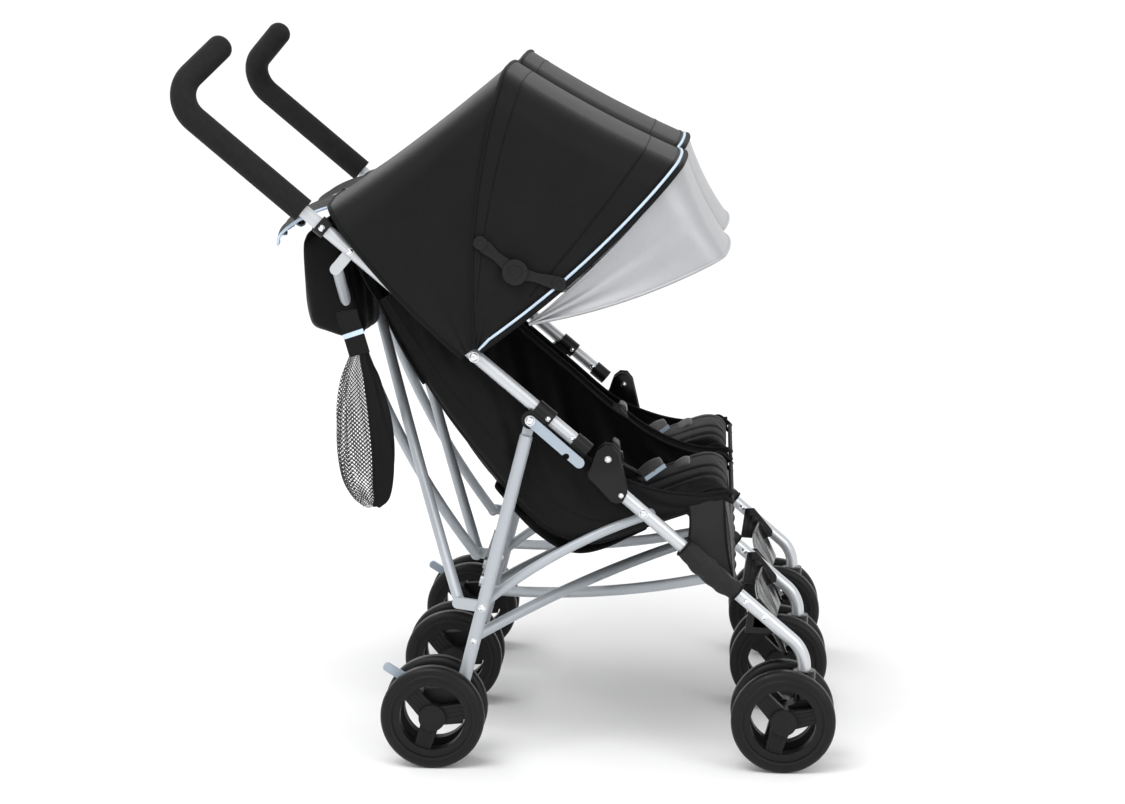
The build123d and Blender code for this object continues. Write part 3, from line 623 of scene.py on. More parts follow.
def crease(rows, count, depth, seed):
    """Small radial folds in a canopy's sides that fade towards the roof."""
    rows = np.array(rows)
    rng = np.random.default_rng(seed)
    phase = rng.uniform(0, 6.28, 4)
    n, m = rows.shape[:2]
    for i in range(n):
        s = i / (n - 1)
        for j in range(m):
            t = min(j, m - 1 - j) / (m / 2)
            fade = max(0.0, 1 - t * 1.9)
            wave = math.sin(count * 6.28 * s + phase[0]) + 0.6 * math.sin(count * 11.0 * s + phase[1] + 3 * t)
            rows[i, j, 1] += depth * fade * wave * math.sin(math.pi * s)
    return rows


class STROLLER_OT_canopies(bpy.types.Operator):
    """Make the two canopies, each a rear shell, a front shell and a visor with its bindings"""
    bl_idname = "stroller.canopies"
    bl_label = "Canopies"

    def execute(self, context):
        size = context.scene.stroller_canopy
        for bay in BAYS:
            self.shell(bay, "rear", size)
            self.shell(bay, "front", size)
            self.shell(bay, "visor", size)
            self.trims(bay, size)
            self.stretchers(bay)
        return {"FINISHED"}

    def shell(self, bay, part, size):
        """One continuous curved sheet over its bows."""
        shares = np.linspace(0, 1, 22)
        rows = [canopy_line(bay, part, s) for s in shares]
        if part != "visor":
            rows = crease(rows, 2.5, 0.0012, 7 if part == "rear" else 11)
        else:
            rows = crease(rows, 1.6, 0.0052, 5)
        piece = grid(f"{bay}_canopy_{part}_cloth", rows)
        piece = thicken(outward(piece), size.cloth, 0.0, 1)
        body = {"rear": "centre_frame", "front": f"{bay}_canopy", "visor": f"{bay}_visor"}[part]
        nodes = {"front": [f"{bay}_canopy_front"], "visor": [f"{bay}_canopy_visor"],
                 "rear": ["canopy_rears"]}[part]
        place(piece, FINISHES["visor" if part == "visor" else "canopy"], body, nodes)
        f"{'right' if bay == 'right' else 'centre'}_upper_tube"

    def trims(self, bay, size):
        """Binding, piping and seams that follow the bow lines."""
        def along(part, share, out, name, radius, finish, body, flat=1.0, cut=0):
            line = np.array(canopy_line(bay, part, share, out))
            line = resample(line[cut:len(line) - cut or None], 150)
            made = sweep(name, line, round_section(radius, 8, flat))
            return place(made, FINISHES[finish], body)
        folding = f"{bay}_canopy"
        along("front", 1.0, 0.0004, f"{bay}_front_binding", 0.0034, "binding", folding)
        edge, inner = (np.array(canopy_line(bay, "front", s, 0.0012)) for s in (1.0, 0.7))
        gap = np.linalg.norm(inner - edge, axis=1)[:, None]
        for distance, radius, finish in ((0.0072, size.piping, "piping"), (0.0130, 0.0009, "binding")):
            line = edge + (inner - edge) * np.minimum(0.9, distance / gap)
            made = sweep(f"{bay}_front_{finish}_{round(distance * 10000)}", resample(line, 150),
                         round_section(radius, 8))
            place(made, FINISHES[finish], folding)
        along("front", 0.0, 0.0006, f"{bay}_bow_seam", 0.0026, "binding", folding)
        along("front", 0.10, 0.0006, f"{bay}_bow_stitch", 0.0009, "binding", folding, 1.0, 3)
        along("rear", 0.985, 0.0012, f"{bay}_rear_seam", 0.0018, "binding", "centre_frame")
        along("rear", 0.0, 0.0006, f"{bay}_rear_binding", 0.0030, "binding", "centre_frame")
        along("visor", 1.0, 0.0002, f"{bay}_visor_binding", 0.0026, "visor", f"{bay}_visor")
        line = canopy_line(bay, "front", 0.80, 0.0008)
        seam = sweep(f"{bay}_front_panel_seam", resample(line[5:-5], 120), round_section(0.0010, 6))
        place(seam, FINISHES["binding"], folding)

    def stretchers(self, bay):
        """Toggle links on both sides of a canopy, with their rivets and centre knuckle."""
        low, high = canopy_sides(bay, 0.0025)
        rear, knuckle, front = (-0.034, 0.758), (0.015, 0.717), (0.077, 0.701)
        parts = []
        for side, y in ((-1, low), (1, high)):
            for a, b in ((rear, knuckle), (knuckle, front)):
                line = curve_through([a, lerp(a, b, 0.35), lerp(a, b, 0.5), b], 14)
                widths = np.interp(np.linspace(0, 1, 14), [0, 0.12, 0.45, 0.8, 1],
                                   [0.006, 0.010, 0.0065, 0.009, 0.010])
                d = np.array(b) - np.array(a)
                square = np.array([-d[1], d[0]]) / np.linalg.norm(d)
                up = [tuple(q + square * w) for q, w in zip(line, widths)]
                down = [tuple(q - square * w) for q, w in zip(line, widths)]
                y0 = y + side * 0.0012
                parts.append(slab("link", up + down[::-1], y0, y0 + side * 0.003, 0.0008))
            for centre, radius, rise in ((knuckle, 0.0185, 0.007), (knuckle, 0.0095, 0.0092),
                                         (rear, 0.010, 0.0052), (front, 0.010, 0.0052),
                                         (rear, 0.0042, 0.0066), (front, 0.0042, 0.0066),
                                         (knuckle, 0.0042, 0.0106)):
                ring = [(centre[0] + radius * math.cos(a), centre[1] + radius * math.sin(a))
                        for a in np.linspace(0, 2 * math.pi, 33)[:-1]]
                y0 = y + side * 0.0012
                parts.append(slab("disc", ring, y0, y0 + side * rise, min(0.0012, radius * 0.2)))
        place(join(f"{bay}_canopy_stretchers", parts), FINISHES["plastic"], f"{bay}_canopy")


# ---- seats ------------------------------------------------------------------------------
SEAT_LINE = ((-0.178, 0.672), (-0.142, 0.606), (-0.098, 0.534), (-0.030, 0.436), (0.042, 0.352))
PAN_LINE = ((0.078, 0.338), (0.112, 0.331), (0.170, 0.346), (0.236, 0.374), (0.288, 0.395), (0.310, 0.397),
            (0.319, 0.387))
WING_HIGH = ((-0.150, 0.688), (-0.094, 0.628), (-0.020, 0.560), (0.060, 0.492), (0.132, 0.432),
             (0.200, 0.402), (0.262, 0.392), (0.318, 0.398))
WING_LOW = ((-0.186, 0.668), (-0.106, 0.530), (-0.040, 0.440), (0.040, 0.346), (0.096, 0.318),
            (0.140, 0.318), (0.220, 0.350), (0.318, 0.384))


def cushion(name, line, y0, y1, thick, crown, ends=(0.35, 0.35), n=44, m=30):
    """Closed crowned pad along a side-view line; its sides pull in between the corners."""
    line = curve_through(line, n)
    tangents = np.gradient(line, axis=0)
    tangents /= np.linalg.norm(tangents, axis=1)[:, None]
    square = np.stack([-tangents[:, 1], tangents[:, 0]], 1)
    middle, half = (y0 + y1) / 2, (y1 - y0) / 2
    rows = []
    for i in range(n):
        u = i / (n - 1)
        end = 1 - (1 - ends[0]) * (1 - min(1, u / 0.05)) - (1 - ends[1]) * (1 - min(1, (1 - u) / 0.05))
        waist = 1 - 0.012 * math.sin(math.pi * u)
        ring = []
        for side in (1, -1):
            for j in range(m):
                v = -1 + 2 * j / (m - 1)
                v = v if side > 0 else -v
                bulge = (1 - abs(v) ** 6) ** 0.5
                rise = side * thick / 2 * end * max(0.06, bulge)
                rise += (crown * (1 - v * v) * math.sin(math.pi * u) ** 0.6) if side > 0 else 0.0
                q = line[i] + square[i] * rise
                ring.append((q[0], middle + half * v * waist, q[1]))
        rows.append(ring)
    count = 2 * m
    verts = [v for ring in rows for v in ring]
    verts += [tuple(np.mean(rows[0], axis=0)), tuple(np.mean(rows[-1], axis=0))]
    faces = [(i * count + j, i * count + (j + 1) % count, (i + 1) * count + (j + 1) % count,
              (i + 1) * count + j) for i in range(n - 1) for j in range(count)]
    last = (n - 1) * count
    faces += [(n * count, (j + 1) % count, j) for j in range(count)]
    faces += [(n * count + 1, last + j, last + (j + 1) % count) for j in range(count)]
    return smooth(outward(mesh_object(name, verts, faces)), 70.0)


def swell(piece, cap, steps):
    """Pad blown out a little by a cloth simulation, each point moving no further than the cap."""
    even = piece.modifiers.new("even", "REMESH")
    even.mode = "VOXEL"
    even.voxel_size = 0.0052
    settle(piece)
    start = np.array([v.co for v in piece.data.vertices], float)
    modifier = piece.modifiers.new("cloth", "CLOTH")
    modifier.settings.use_pressure = True
    modifier.settings.uniform_pressure_force = 4.0
    modifier.settings.effector_weights.gravity = 0.0
    modifier.point_cache.frame_start = 1
    modifier.point_cache.frame_end = steps
    for step in range(1, steps + 1):
        bpy.context.scene.frame_set(step)
    settle(piece)
    moved = np.array([v.co for v in piece.data.vertices], float) - start
    far = np.linalg.norm(moved, axis=1)[:, None]
    ended = start + moved * np.minimum(1.0, cap / np.maximum(far, 1e-9))
    piece.data.vertices.foreach_set("co", ended.astype(np.float32).ravel())
    piece.data.update()
    return smooth(piece, 180.0)


def press(piece, depth, distance_to_seam, width):
    """Sewn channel: points near a seam move in along their normals."""
    mesh = piece.data
    co = np.array([v.co for v in mesh.vertices], float)
    normals = np.array([v.normal for v in mesh.vertices], float)
    near = np.array([distance_to_seam(q) for q in co])
    inward = depth * np.exp(-(near / width) ** 2)
    mesh.vertices.foreach_set("co", (co - normals * inward[:, None]).astype(np.float32).ravel())
    mesh.update()
    return piece


def rounded(piece):
    """One round of subdivision, settled."""
    sub = piece.modifiers.new("rounds", "SUBSURF")
    sub.levels = sub.render_levels = 1
    return smooth(settle(piece), 180.0)


def shifted(piece, name, dy):
    """Copy of a piece moved across."""
    mesh = piece.data.copy()
    co = np.array([v.co for v in mesh.vertices], float)
    co[:, 1] += dy
    mesh.vertices.foreach_set("co", co.astype(np.float32).ravel())
    made = bpy.data.objects.new(name, mesh)
    bpy.context.scene.collection.objects.link(made)
    return made


def declare_sheet(piece, width):
    """Flat length that a sheet's area gives for a width; it is worked out and not kept."""
    area = sum(f.area for f in piece.data.polygons) / 2
    area / width


class STROLLER_OT_seats(bpy.types.Operator):
    """Make the two seats: padded backs and pans, side wings, bindings"""
    bl_idname = "stroller.seats"
    bl_label = "Seats"

    def execute(self, context):
        s = context.scene.stroller_seat
        low, high = BAYS["right"]
        y0, y1 = low + s.inset, high - s.inset
        middle = (y0 + y1) / 2
        back = cushion("right_seat_back", SEAT_LINE, y0 + 0.006, y1 - 0.006, s.pad, 0.004)
        back = swell(back, s.swell * 0.8, s.steps)
        seams = (middle - 0.072, middle + 0.072)
        press(back, 0.0055, lambda q: min(abs(q[1] - y) for y in seams), 0.006)
        for at in (0.600, 0.500):
            press(back, 0.0045, lambda q, z=at: abs(q[2] - z) + 9 * max(0, abs(q[1] - middle) - 0.07), 0.006)
        pan = cushion("right_seat_pan", PAN_LINE, y0 + 0.008, y1 - 0.008, s.pad * 1.05, s.crown, (0.35, 0.8))
        pan = swell(pan, s.swell, s.steps)
        bands = (middle - 0.092, middle - 0.046, middle + 0.046, middle + 0.092)
        press(pan, 0.0036, lambda q: min(abs(q[1] - y) for y in bands), 0.0050)
        backs = [rounded(back)]
        pans = [rounded(pan)]
        backs.append(shifted(back, "left_seat_back", PITCH))
        pans.append(shifted(pan, "left_seat_pan", PITCH))
        for made in backs:
            place(made, FINISHES["seat"], "centre_frame", ["seat_backs"])
        for made in pans:
            place(made, FINISHES["seat"], "seat_pan", ["seat_pans"])
        for bay in BAYS:
            self.wings(bay, s)
            self.pan_edges(bay, s)
            self.harness(bay)
        return {"FINISHED"}

    def wings(self, bay, s):
        """Side wings hung from the handle tubes, with slanting folds and bound edges."""
        low, high = BAYS[bay]
        upper, lower = curve_through(WING_HIGH, 46), curve_through(WING_LOW, 46)
        for side, y in ((-1, low + s.inset), (1, high - s.inset)):
            rows = []
            rise = s.rise if (bay, side) in (("right", 1), ("left", -1)) else 0.0
            for i in range(46):
                u = i / 45
                row = []
                for j in range(26):
                    v = j / 25
                    q = upper[i] + (lower[i] - upper[i]) * v
                    q = q + np.array([0.55, 0.83]) * rise * (1 - v) * min(1, 3.2 * (1 - u)) * min(1, 8 * u)
                    slant = u * 5.2 - v * 1.5
                    fold = 0.0036 * math.sin(6.28 * slant) + 0.0022 * math.sin(6.28 * (2.3 * slant + 0.3 * v))
                    fold *= math.sin(math.pi * min(1, v * 1.1)) * (0.35 + 0.65 * math.sin(math.pi * u))
                    belly = s.wing * math.sin(math.pi * v) ** 0.8 * math.sin(math.pi * u) ** 0.7
                    tuck = -0.012 * max(0.0, v - 0.9) / 0.1
                    row.append((q[0], y + side * (belly + fold * 0.8 + tuck), q[1]))
                rows.append(row)
            name = f"{bay}_seat_wing_{'right' if side < 0 else 'left'}"
            wing = thicken(outward(grid(name, rows)), 0.0020, 0.0, 1)
            place(wing, FINISHES["seat"], "centre_frame")
            declare_sheet(wing, 0.30)
            for key, j, radius in (("top", 0, 0.0024), ("low", 24, 0.0026), ("seam", 16, 0.0011)):
                line = np.array([row[j] for row in rows])
                line[:, 1] += side * 0.0008
                trim = sweep(f"{name}_{key}", resample(line, 120), round_section(radius, 8))
                place(trim, FINISHES["binding"], "centre_frame")

    def pan_edges(self, bay, s):
        """Rolled bindings round the pan's front and the cloth sling under the pan."""
        low, high = BAYS[bay]
        y0, y1 = low + s.inset + 0.006, high - s.inset - 0.006
        for rise, key in ((0.0035, "upper"), (-0.0085, "lower")):
            side = [(q[0] + (0.004 if q[0] > 0.32 else 0), q[1] + rise) for q in curve_through(PAN_LINE, 30)]
            tip = side[-1]
            line = [(q[0], y0, q[1]) for q in side[6:-2]]
            line += [(tip[0] + 0.003, y, tip[1]) for y in np.linspace(y0 + 0.012, y1 - 0.012, 24)]
            line += [(q[0], y1, q[1]) for q in side[6:-2][::-1]]
            edge = sweep(f"{bay}_pan_{key}_edge", resample(curve_through(line, 200), 200),
                         round_section(0.0032, 8))
            place(edge, FINISHES["binding"], "seat_pan")
        sling = []
        for i, q in enumerate(curve_through(((-0.020, 0.398), (0.030, 0.340), (0.085, 0.306),
                                             (0.135, 0.308), (0.200, 0.338)), 24)):
            u = i / 23
            sling.append([(q[0], y, q[1] - 0.004 * math.sin(math.pi * k / 15) * math.sin(math.pi * u)
                           + 0.0012 * math.sin(9 * u + k))
                          for k, y in enumerate(np.linspace(y0 + 0.004, y1 - 0.004, 16))])
        under = thicken(outward(grid(f"{bay}_seat_sling", sling)), 0.0018, 0.0, 1)
        place(under, FINISHES["seat"], "centre_frame")
        declare_sheet(under, y1 - y0)

    def flat_pad(self, name, left, head, right, foot, thickness):
        """Soft four-cornered pad with a puffed middle and rounded corners."""
        rows = []
        lift = np.cross(head - left, foot - left)
        lift = lift / np.linalg.norm(lift) * (1 if lift[2] > 0 else -1)
        for side in (1, -1):
            for i in range(15):
                u = -1 + 2 * i / 14
                u = u if side > 0 else -u
                row = []
                for j in range(15):
                    v = -1 + 2 * j / 14
                    a = u * (1 - 0.10 * v * v) / 2 + 0.5
                    b = v * (1 - 0.10 * u * u) / 2 + 0.5
                    q = left * (1 - a) * (1 - b) + head * a * (1 - b) + right * a * b + foot * (1 - a) * b
                    puff = ((1 - u ** 4) * (1 - v ** 4)) ** 0.5
                    q = q + lift * (thickness * (0.5 * side * puff + 0.25 * math.sin(2.5 * u + 1.0)))
                    row.append(q)
                rows.append(row)
        return rounded(outward(grid(name, rows)))

    def harness(self, bay):
        """Crotch strap with its pads, shoulder straps with sleeves, lap straps and buckle."""
        middle = sum(BAYS[bay]) / 2
        straps, pads, stripes, shoulder_straps, sleeves = [], [], [], [], []
        foot = (0.205, 0.382)
        route = curve_through([foot, (0.182, 0.398), (0.164, 0.408), (0.154, 0.420)], 24)
        straps.append(sweep("strap", [p3(q, middle) for q in route], strap_section(0.025, 0.0018),
                            (0.8, 0, 0.6)))
        tops = ((0.172, 0.392, 0.015), (0.217, 0.421, 0.015), (0.226, 0.408, -0.025), (0.193, 0.384, -0.025))
        left, head, right, foot = [np.array([x, middle + dy, z]) for x, z, dy in tops]
        pads.append(self.flat_pad("pad", left, head, right, foot, 0.0075))
        away = np.array([0.030, 0.010, 0.002])
        pads.append(self.flat_pad("tab", head + away - 0.012, head + away + (0.014, 0, -0.004),
                                  right + away + (0.006, 0, 0.002), right + away - (0.018, 0, 0.010), 0.006))
        lift = np.array([0.0015, -0.0030, 0.0042])
        near = [foot + (right - foot) * t + (head - right) * 0.10 + lift for t in np.linspace(0.06, 0.94, 16)]
        stripes.append(sweep("stripe", near, strap_section(0.0085, 0.0012), (0.1, -0.5, 0.85)))
        for side in (-1, 1):
            y = middle + side * 0.058
            high = curve_through([(-0.150, 0.646), (-0.116, 0.600), (-0.072, 0.534), (0.000, 0.458),
                                  (0.060, 0.400), (0.092, 0.372)], 60)
            line = [(q[0], y + side * 0.020 * math.sin(math.pi * t), q[1])
                    for q, t in zip(high, np.linspace(0, 1, 60))]
            shoulder_straps.append(sweep("strap", line, strap_section(0.024, 0.0016), (0.8, 0, 0.6)))
            sleeves.append(sweep("sleeve", line[6:30], strap_section(0.050, 0.0075), (0.8, 0, 0.6)))
            lap = curve_through([(0.082, middle + side * 0.118, 0.372), (0.118, middle + side * 0.095, 0.366),
                                 (0.150, middle + side * 0.050, 0.384),
                                 (0.150, middle + side * 0.016, 0.412)], 40)
            straps.append(sweep("strap", lap, strap_section(0.024, 0.0016), (0.5, 0, 0.8)))
        place(join(f"{bay}_harness_straps", straps), FINISHES["webbing"], "seat_pan")
        place(join(f"{bay}_shoulder_straps", shoulder_straps), FINISHES["webbing"], "centre_frame")
        cover = place(join(f"{bay}_shoulder_sleeves", sleeves), FINISHES["seat"], "centre_frame")
        pad = place(join(f"{bay}_harness_pads", pads), FINISHES["harness"], "seat_pan",
                    ["harness_pads"])
        place(join(f"{bay}_harness_stripes", stripes), FINISHES["piping"], "seat_pan")
        x, z = 0.150, 0.420
        shell = slab("shell", [(x - 0.010, z - 0.022), (x + 0.003, z - 0.026), (x + 0.010, z - 0.010),
                               (x + 0.006, z + 0.022), (x - 0.004, z + 0.028), (x - 0.013, z + 0.010)],
                     middle - 0.022, middle + 0.022, 0.004, 3)
        button = slab("button", [(x + 0.006, z - 0.010), (x + 0.013, z - 0.007), (x + 0.011, z + 0.008),
                                 (x + 0.004, z + 0.010)], middle - 0.010, middle + 0.010, 0.002, 3)
        place(join(f"{bay}_harness_buckle", [shell, button]), FINISHES["plastic"], "seat_pan")


# ---- leg panels and footrests -----------------------------------------------------------
class STROLLER_OT_leg_panels(bpy.types.Operator):
    """Make the cloth panels below the seats, their sleeves on the front legs, and the footrests"""
    bl_idname = "stroller.leg_panels"
    bl_label = "Leg panels and footrests"

    def execute(self, context):
        for name, y in STATIONS.items():
            self.sleeve(name, y)
        for bay in BAYS:
            self.panel(bay)
            self.footrest(bay)
        for name in ("centre", "left", "right"):
            self.bracket(name, STATIONS[name])
        return {"FINISHED"}

    def leg_point(self, share):
        return lerp(LEG_TOP, LEG_BEND, share)

    def sleeve(self, name, y):
        """Cloth sleeve round a front leg with a dark bound end."""
        d = np.array(LEG_BEND) - np.array(LEG_TOP)
        d = d / np.linalg.norm(d)
        rows = []
        for i, t in enumerate(np.linspace(0.425, 0.680, 30)):
            q = np.array(self.leg_point(t))
            square = np.array([d[1], -d[0]])
            ring = []
            for k in range(28):
                a = 2 * math.pi * k / 28
                r = 0.0122 + 0.0009 * math.sin(3 * a + 0.9 * i) + 0.0006 * math.sin(5 * a - 0.5 * i)
                hang = 0.006 * max(0, math.cos(a)) ** 3 * math.sin(math.pi * i / 29)
                w = q + square * (r * math.cos(a) + hang)
                ring.append((w[0], y + r * math.sin(a), w[1]))
            rows.append(ring)
        piece = thicken(outward(grid(f"{name}_leg_sleeve", rows, True)), 0.0014, 1.0, 1)
        place(piece, FINISHES["panel"], f"{name}_front_leg", (), False)
        declare_sheet(piece, 0.085)
        ends = []
        for t in (0.427, 0.678):
            q = np.array(self.leg_point(t))
            ring = [(q[0] + 0.0136 * d[1] * math.cos(a), y + 0.0136 * math.sin(a),
                     q[1] - 0.0136 * d[0] * math.cos(a)) for a in np.linspace(0, 2 * math.pi, 41)]
            ends.append(sweep("end", ring, round_section(0.0018, 8), (d[0], 0.01, d[1])))
        place(join(f"{name}_sleeve_ends", ends), FINISHES["binding"], f"{name}_front_leg",
              (), False)

    def panel(self, bay):
        """Gusset beside each front leg and the sheet across below the seat's edge."""
        low, high = BAYS[bay]
        top = [(0.258, 0.388), (0.276, 0.390), (0.294, 0.390), (0.311, 0.386)]
        foot = [self.leg_point(0.44), self.leg_point(0.52), self.leg_point(0.60), self.leg_point(0.672)]
        upper, lower = curve_through(top, 26), curve_through(foot, 26)
        sheets, trims = [], []
        for side, y in ((1, low + 0.0135), (-1, high - 0.0135)):
            rows = []
            for i in range(26):
                u = i / 25
                row = []
                for j in range(26):
                    v = j / 25
                    q = upper[i] + (lower[i] - upper[i]) * v
                    q = (q[0] - 0.010 * math.sin(math.pi * v) * (u - 0.5), q[1])
                    fold = 0.0022 * math.sin(7 * u + 5 * v) * math.sin(math.pi * v)
                    inward = 0.014 * (1 - v) ** 1.5
                    row.append((q[0], y + side * (inward + fold), q[1]))
                rows.append(row)
            sheets.append(grid("gusset", rows))
            for line in ([r[0] for r in rows], rows[0], rows[-1]):
                trims.append(sweep("trim", resample(np.array(line), 50), round_section(0.0019, 8)))
        y0, y1 = low + 0.0135, high - 0.0135
        front = []
        for i in range(26):
            u = i / 25
            a, b = upper[-1], lower[-1]
            q = a + (b - a) * (u * 0.92)
            bow = 0.012 * math.sin(math.pi * u)
            row = [(q[0] - bow * math.sin(math.pi * k / 31) + 0.0012 * math.sin(k * 0.9 + 5 * u),
                    y, q[1] + 0.004 * math.sin(math.pi * k / 31) * u)
                   for k, y in enumerate(np.linspace(y0 + 0.013 * (1 - u * 0.92) ** 1.5,
                                                     y1 - 0.013 * (1 - u * 0.92) ** 1.5, 32))]
            front.append(row)
        sheets.append(grid("front", front))
        trims.append(sweep("hem", resample(np.array(front[-1]), 80), round_section(0.0022, 8)))
        piece = thicken(outward(join(f"{bay}_calf_panel", sheets)), 0.0018, 0.0, 1)
        place(piece, FINISHES["panel"], "centre_front_leg", ["calf_panels"])
        declare_sheet(piece, 0.45)
        place(join(f"{bay}_calf_bindings", trims), FINISHES["binding"], "centre_front_leg")

    def footrest(self, bay):
        """Moulded glossy footrest with ribs and a rolled lower edge."""
        low, high = BAYS[bay]
        y0, y1 = low + 0.0118, high - 0.0118
        line = curve_through(((0.372, 0.222), (0.385, 0.192), (0.400, 0.162)), 18)
        rows = []
        for i, q in enumerate(line):
            u = i / 17
            rows.append([(q[0] + 0.0015 * math.cos(2 * math.pi * k / 47 * 6) * math.sin(math.pi * u)
                          - 0.010 * math.sin(math.pi * k / 47), y, q[1])
                         for k, y in enumerate(np.linspace(y0, y1, 48))])
        face = thicken(outward(grid(f"{bay}_footrest", rows)), 0.0032, 0.0, 1)
        reach = 0.118
        lip = curve_through(((0.398, 0.166), (0.406, 0.150), (0.412, 0.136)), 10)
        shelf = [[(q[0] - 0.010 * math.sin(math.pi * (k + 12) / 47), y, q[1])
                  for k, y in enumerate(np.linspace(low + reach, high - reach, 24))] for q in lip]
        lower = thicken(outward(grid("lip", shelf)), 0.0032, 0.0, 1)
        rims = [sweep("rim", resample(np.array(r), 60), round_section(0.0030, 8))
                for r in (rows[0], shelf[-1])]
        place(join(f"{bay}_footrest", [face, lower, *rims]), FINISHES["glossy"], "centre_front_leg",
              ["footrests"])

    def bracket(self, name, y):
        """Three-cornered footrest bracket on a front leg and its lug."""
        base = [(0.342, 0.194), (0.349, 0.243), (0.364, 0.244), (0.395, 0.206), (0.394, 0.196),
                (0.372, 0.192)]
        parts = []
        for side in (-1, 1):
            if (name, side) in (("right", -1), ("left", 1)):
                continue
            y0 = y + side * (TUBE_R + 0.0006)
            parts.append(slab("web", base, y0, y0 + side * 0.004, 0.0012))
            middle = np.mean(base, axis=0)
            ring = [tuple(middle + (np.array(q) - middle) * 0.62) for q in base]
            parts.append(slab("boss", ring, y0, y0 + side * 0.009, 0.0015))
        place(join(f"{name}_footrest_bracket", parts), FINISHES["glossy"], f"{name}_front_leg",
              (), False)


# ---- pockets and mesh bag ---------------------------------------------------------------
def bag(name, outline, y0, y1, puff, seed, n=26, m=56):
    """Closed sagging bag lofted across between two depths."""
    ring = curve_through([*outline, outline[0]], m + 1)[:-1]
    centre = ring.mean(0)
    rng = np.random.default_rng(seed)
    phase = rng.uniform(0, 6.28, 5)
    rows = []
    for i in range(n):
        t = -1 + 2 * i / (n - 1)
        scale = 0.80 + 0.20 * (1 - abs(t) ** 5) ** 0.5
        row = []
        for k, q in enumerate(ring):
            a = 2 * math.pi * k / m
            soft = puff * (1 - t * t) + 0.0022 * math.sin(5 * t + 2 * a + phase[0])
            soft += 0.0016 * math.sin(11 * t - 3 * a + phase[1])
            d = q - centre
            d = d * scale + d / np.linalg.norm(d) * soft
            row.append((centre[0] + d[0], (y0 + y1) / 2 + (y1 - y0) / 2 * t, centre[1] + d[1]))
        rows.append(row)
    verts = [v for row in rows for v in row] + [tuple(np.mean(rows[0], 0)), tuple(np.mean(rows[-1], 0))]
    faces = [(i * m + k, i * m + (k + 1) % m, (i + 1) * m + (k + 1) % m, (i + 1) * m + k)
             for i in range(n - 1) for k in range(m)]
    faces += [(n * m, (k + 1) % m, k) for k in range(m)]
    faces += [(n * m + 1, (n - 1) * m + k, (n - 1) * m + (k + 1) % m) for k in range(m)]
    return rounded(outward(mesh_object(name, verts, faces)))


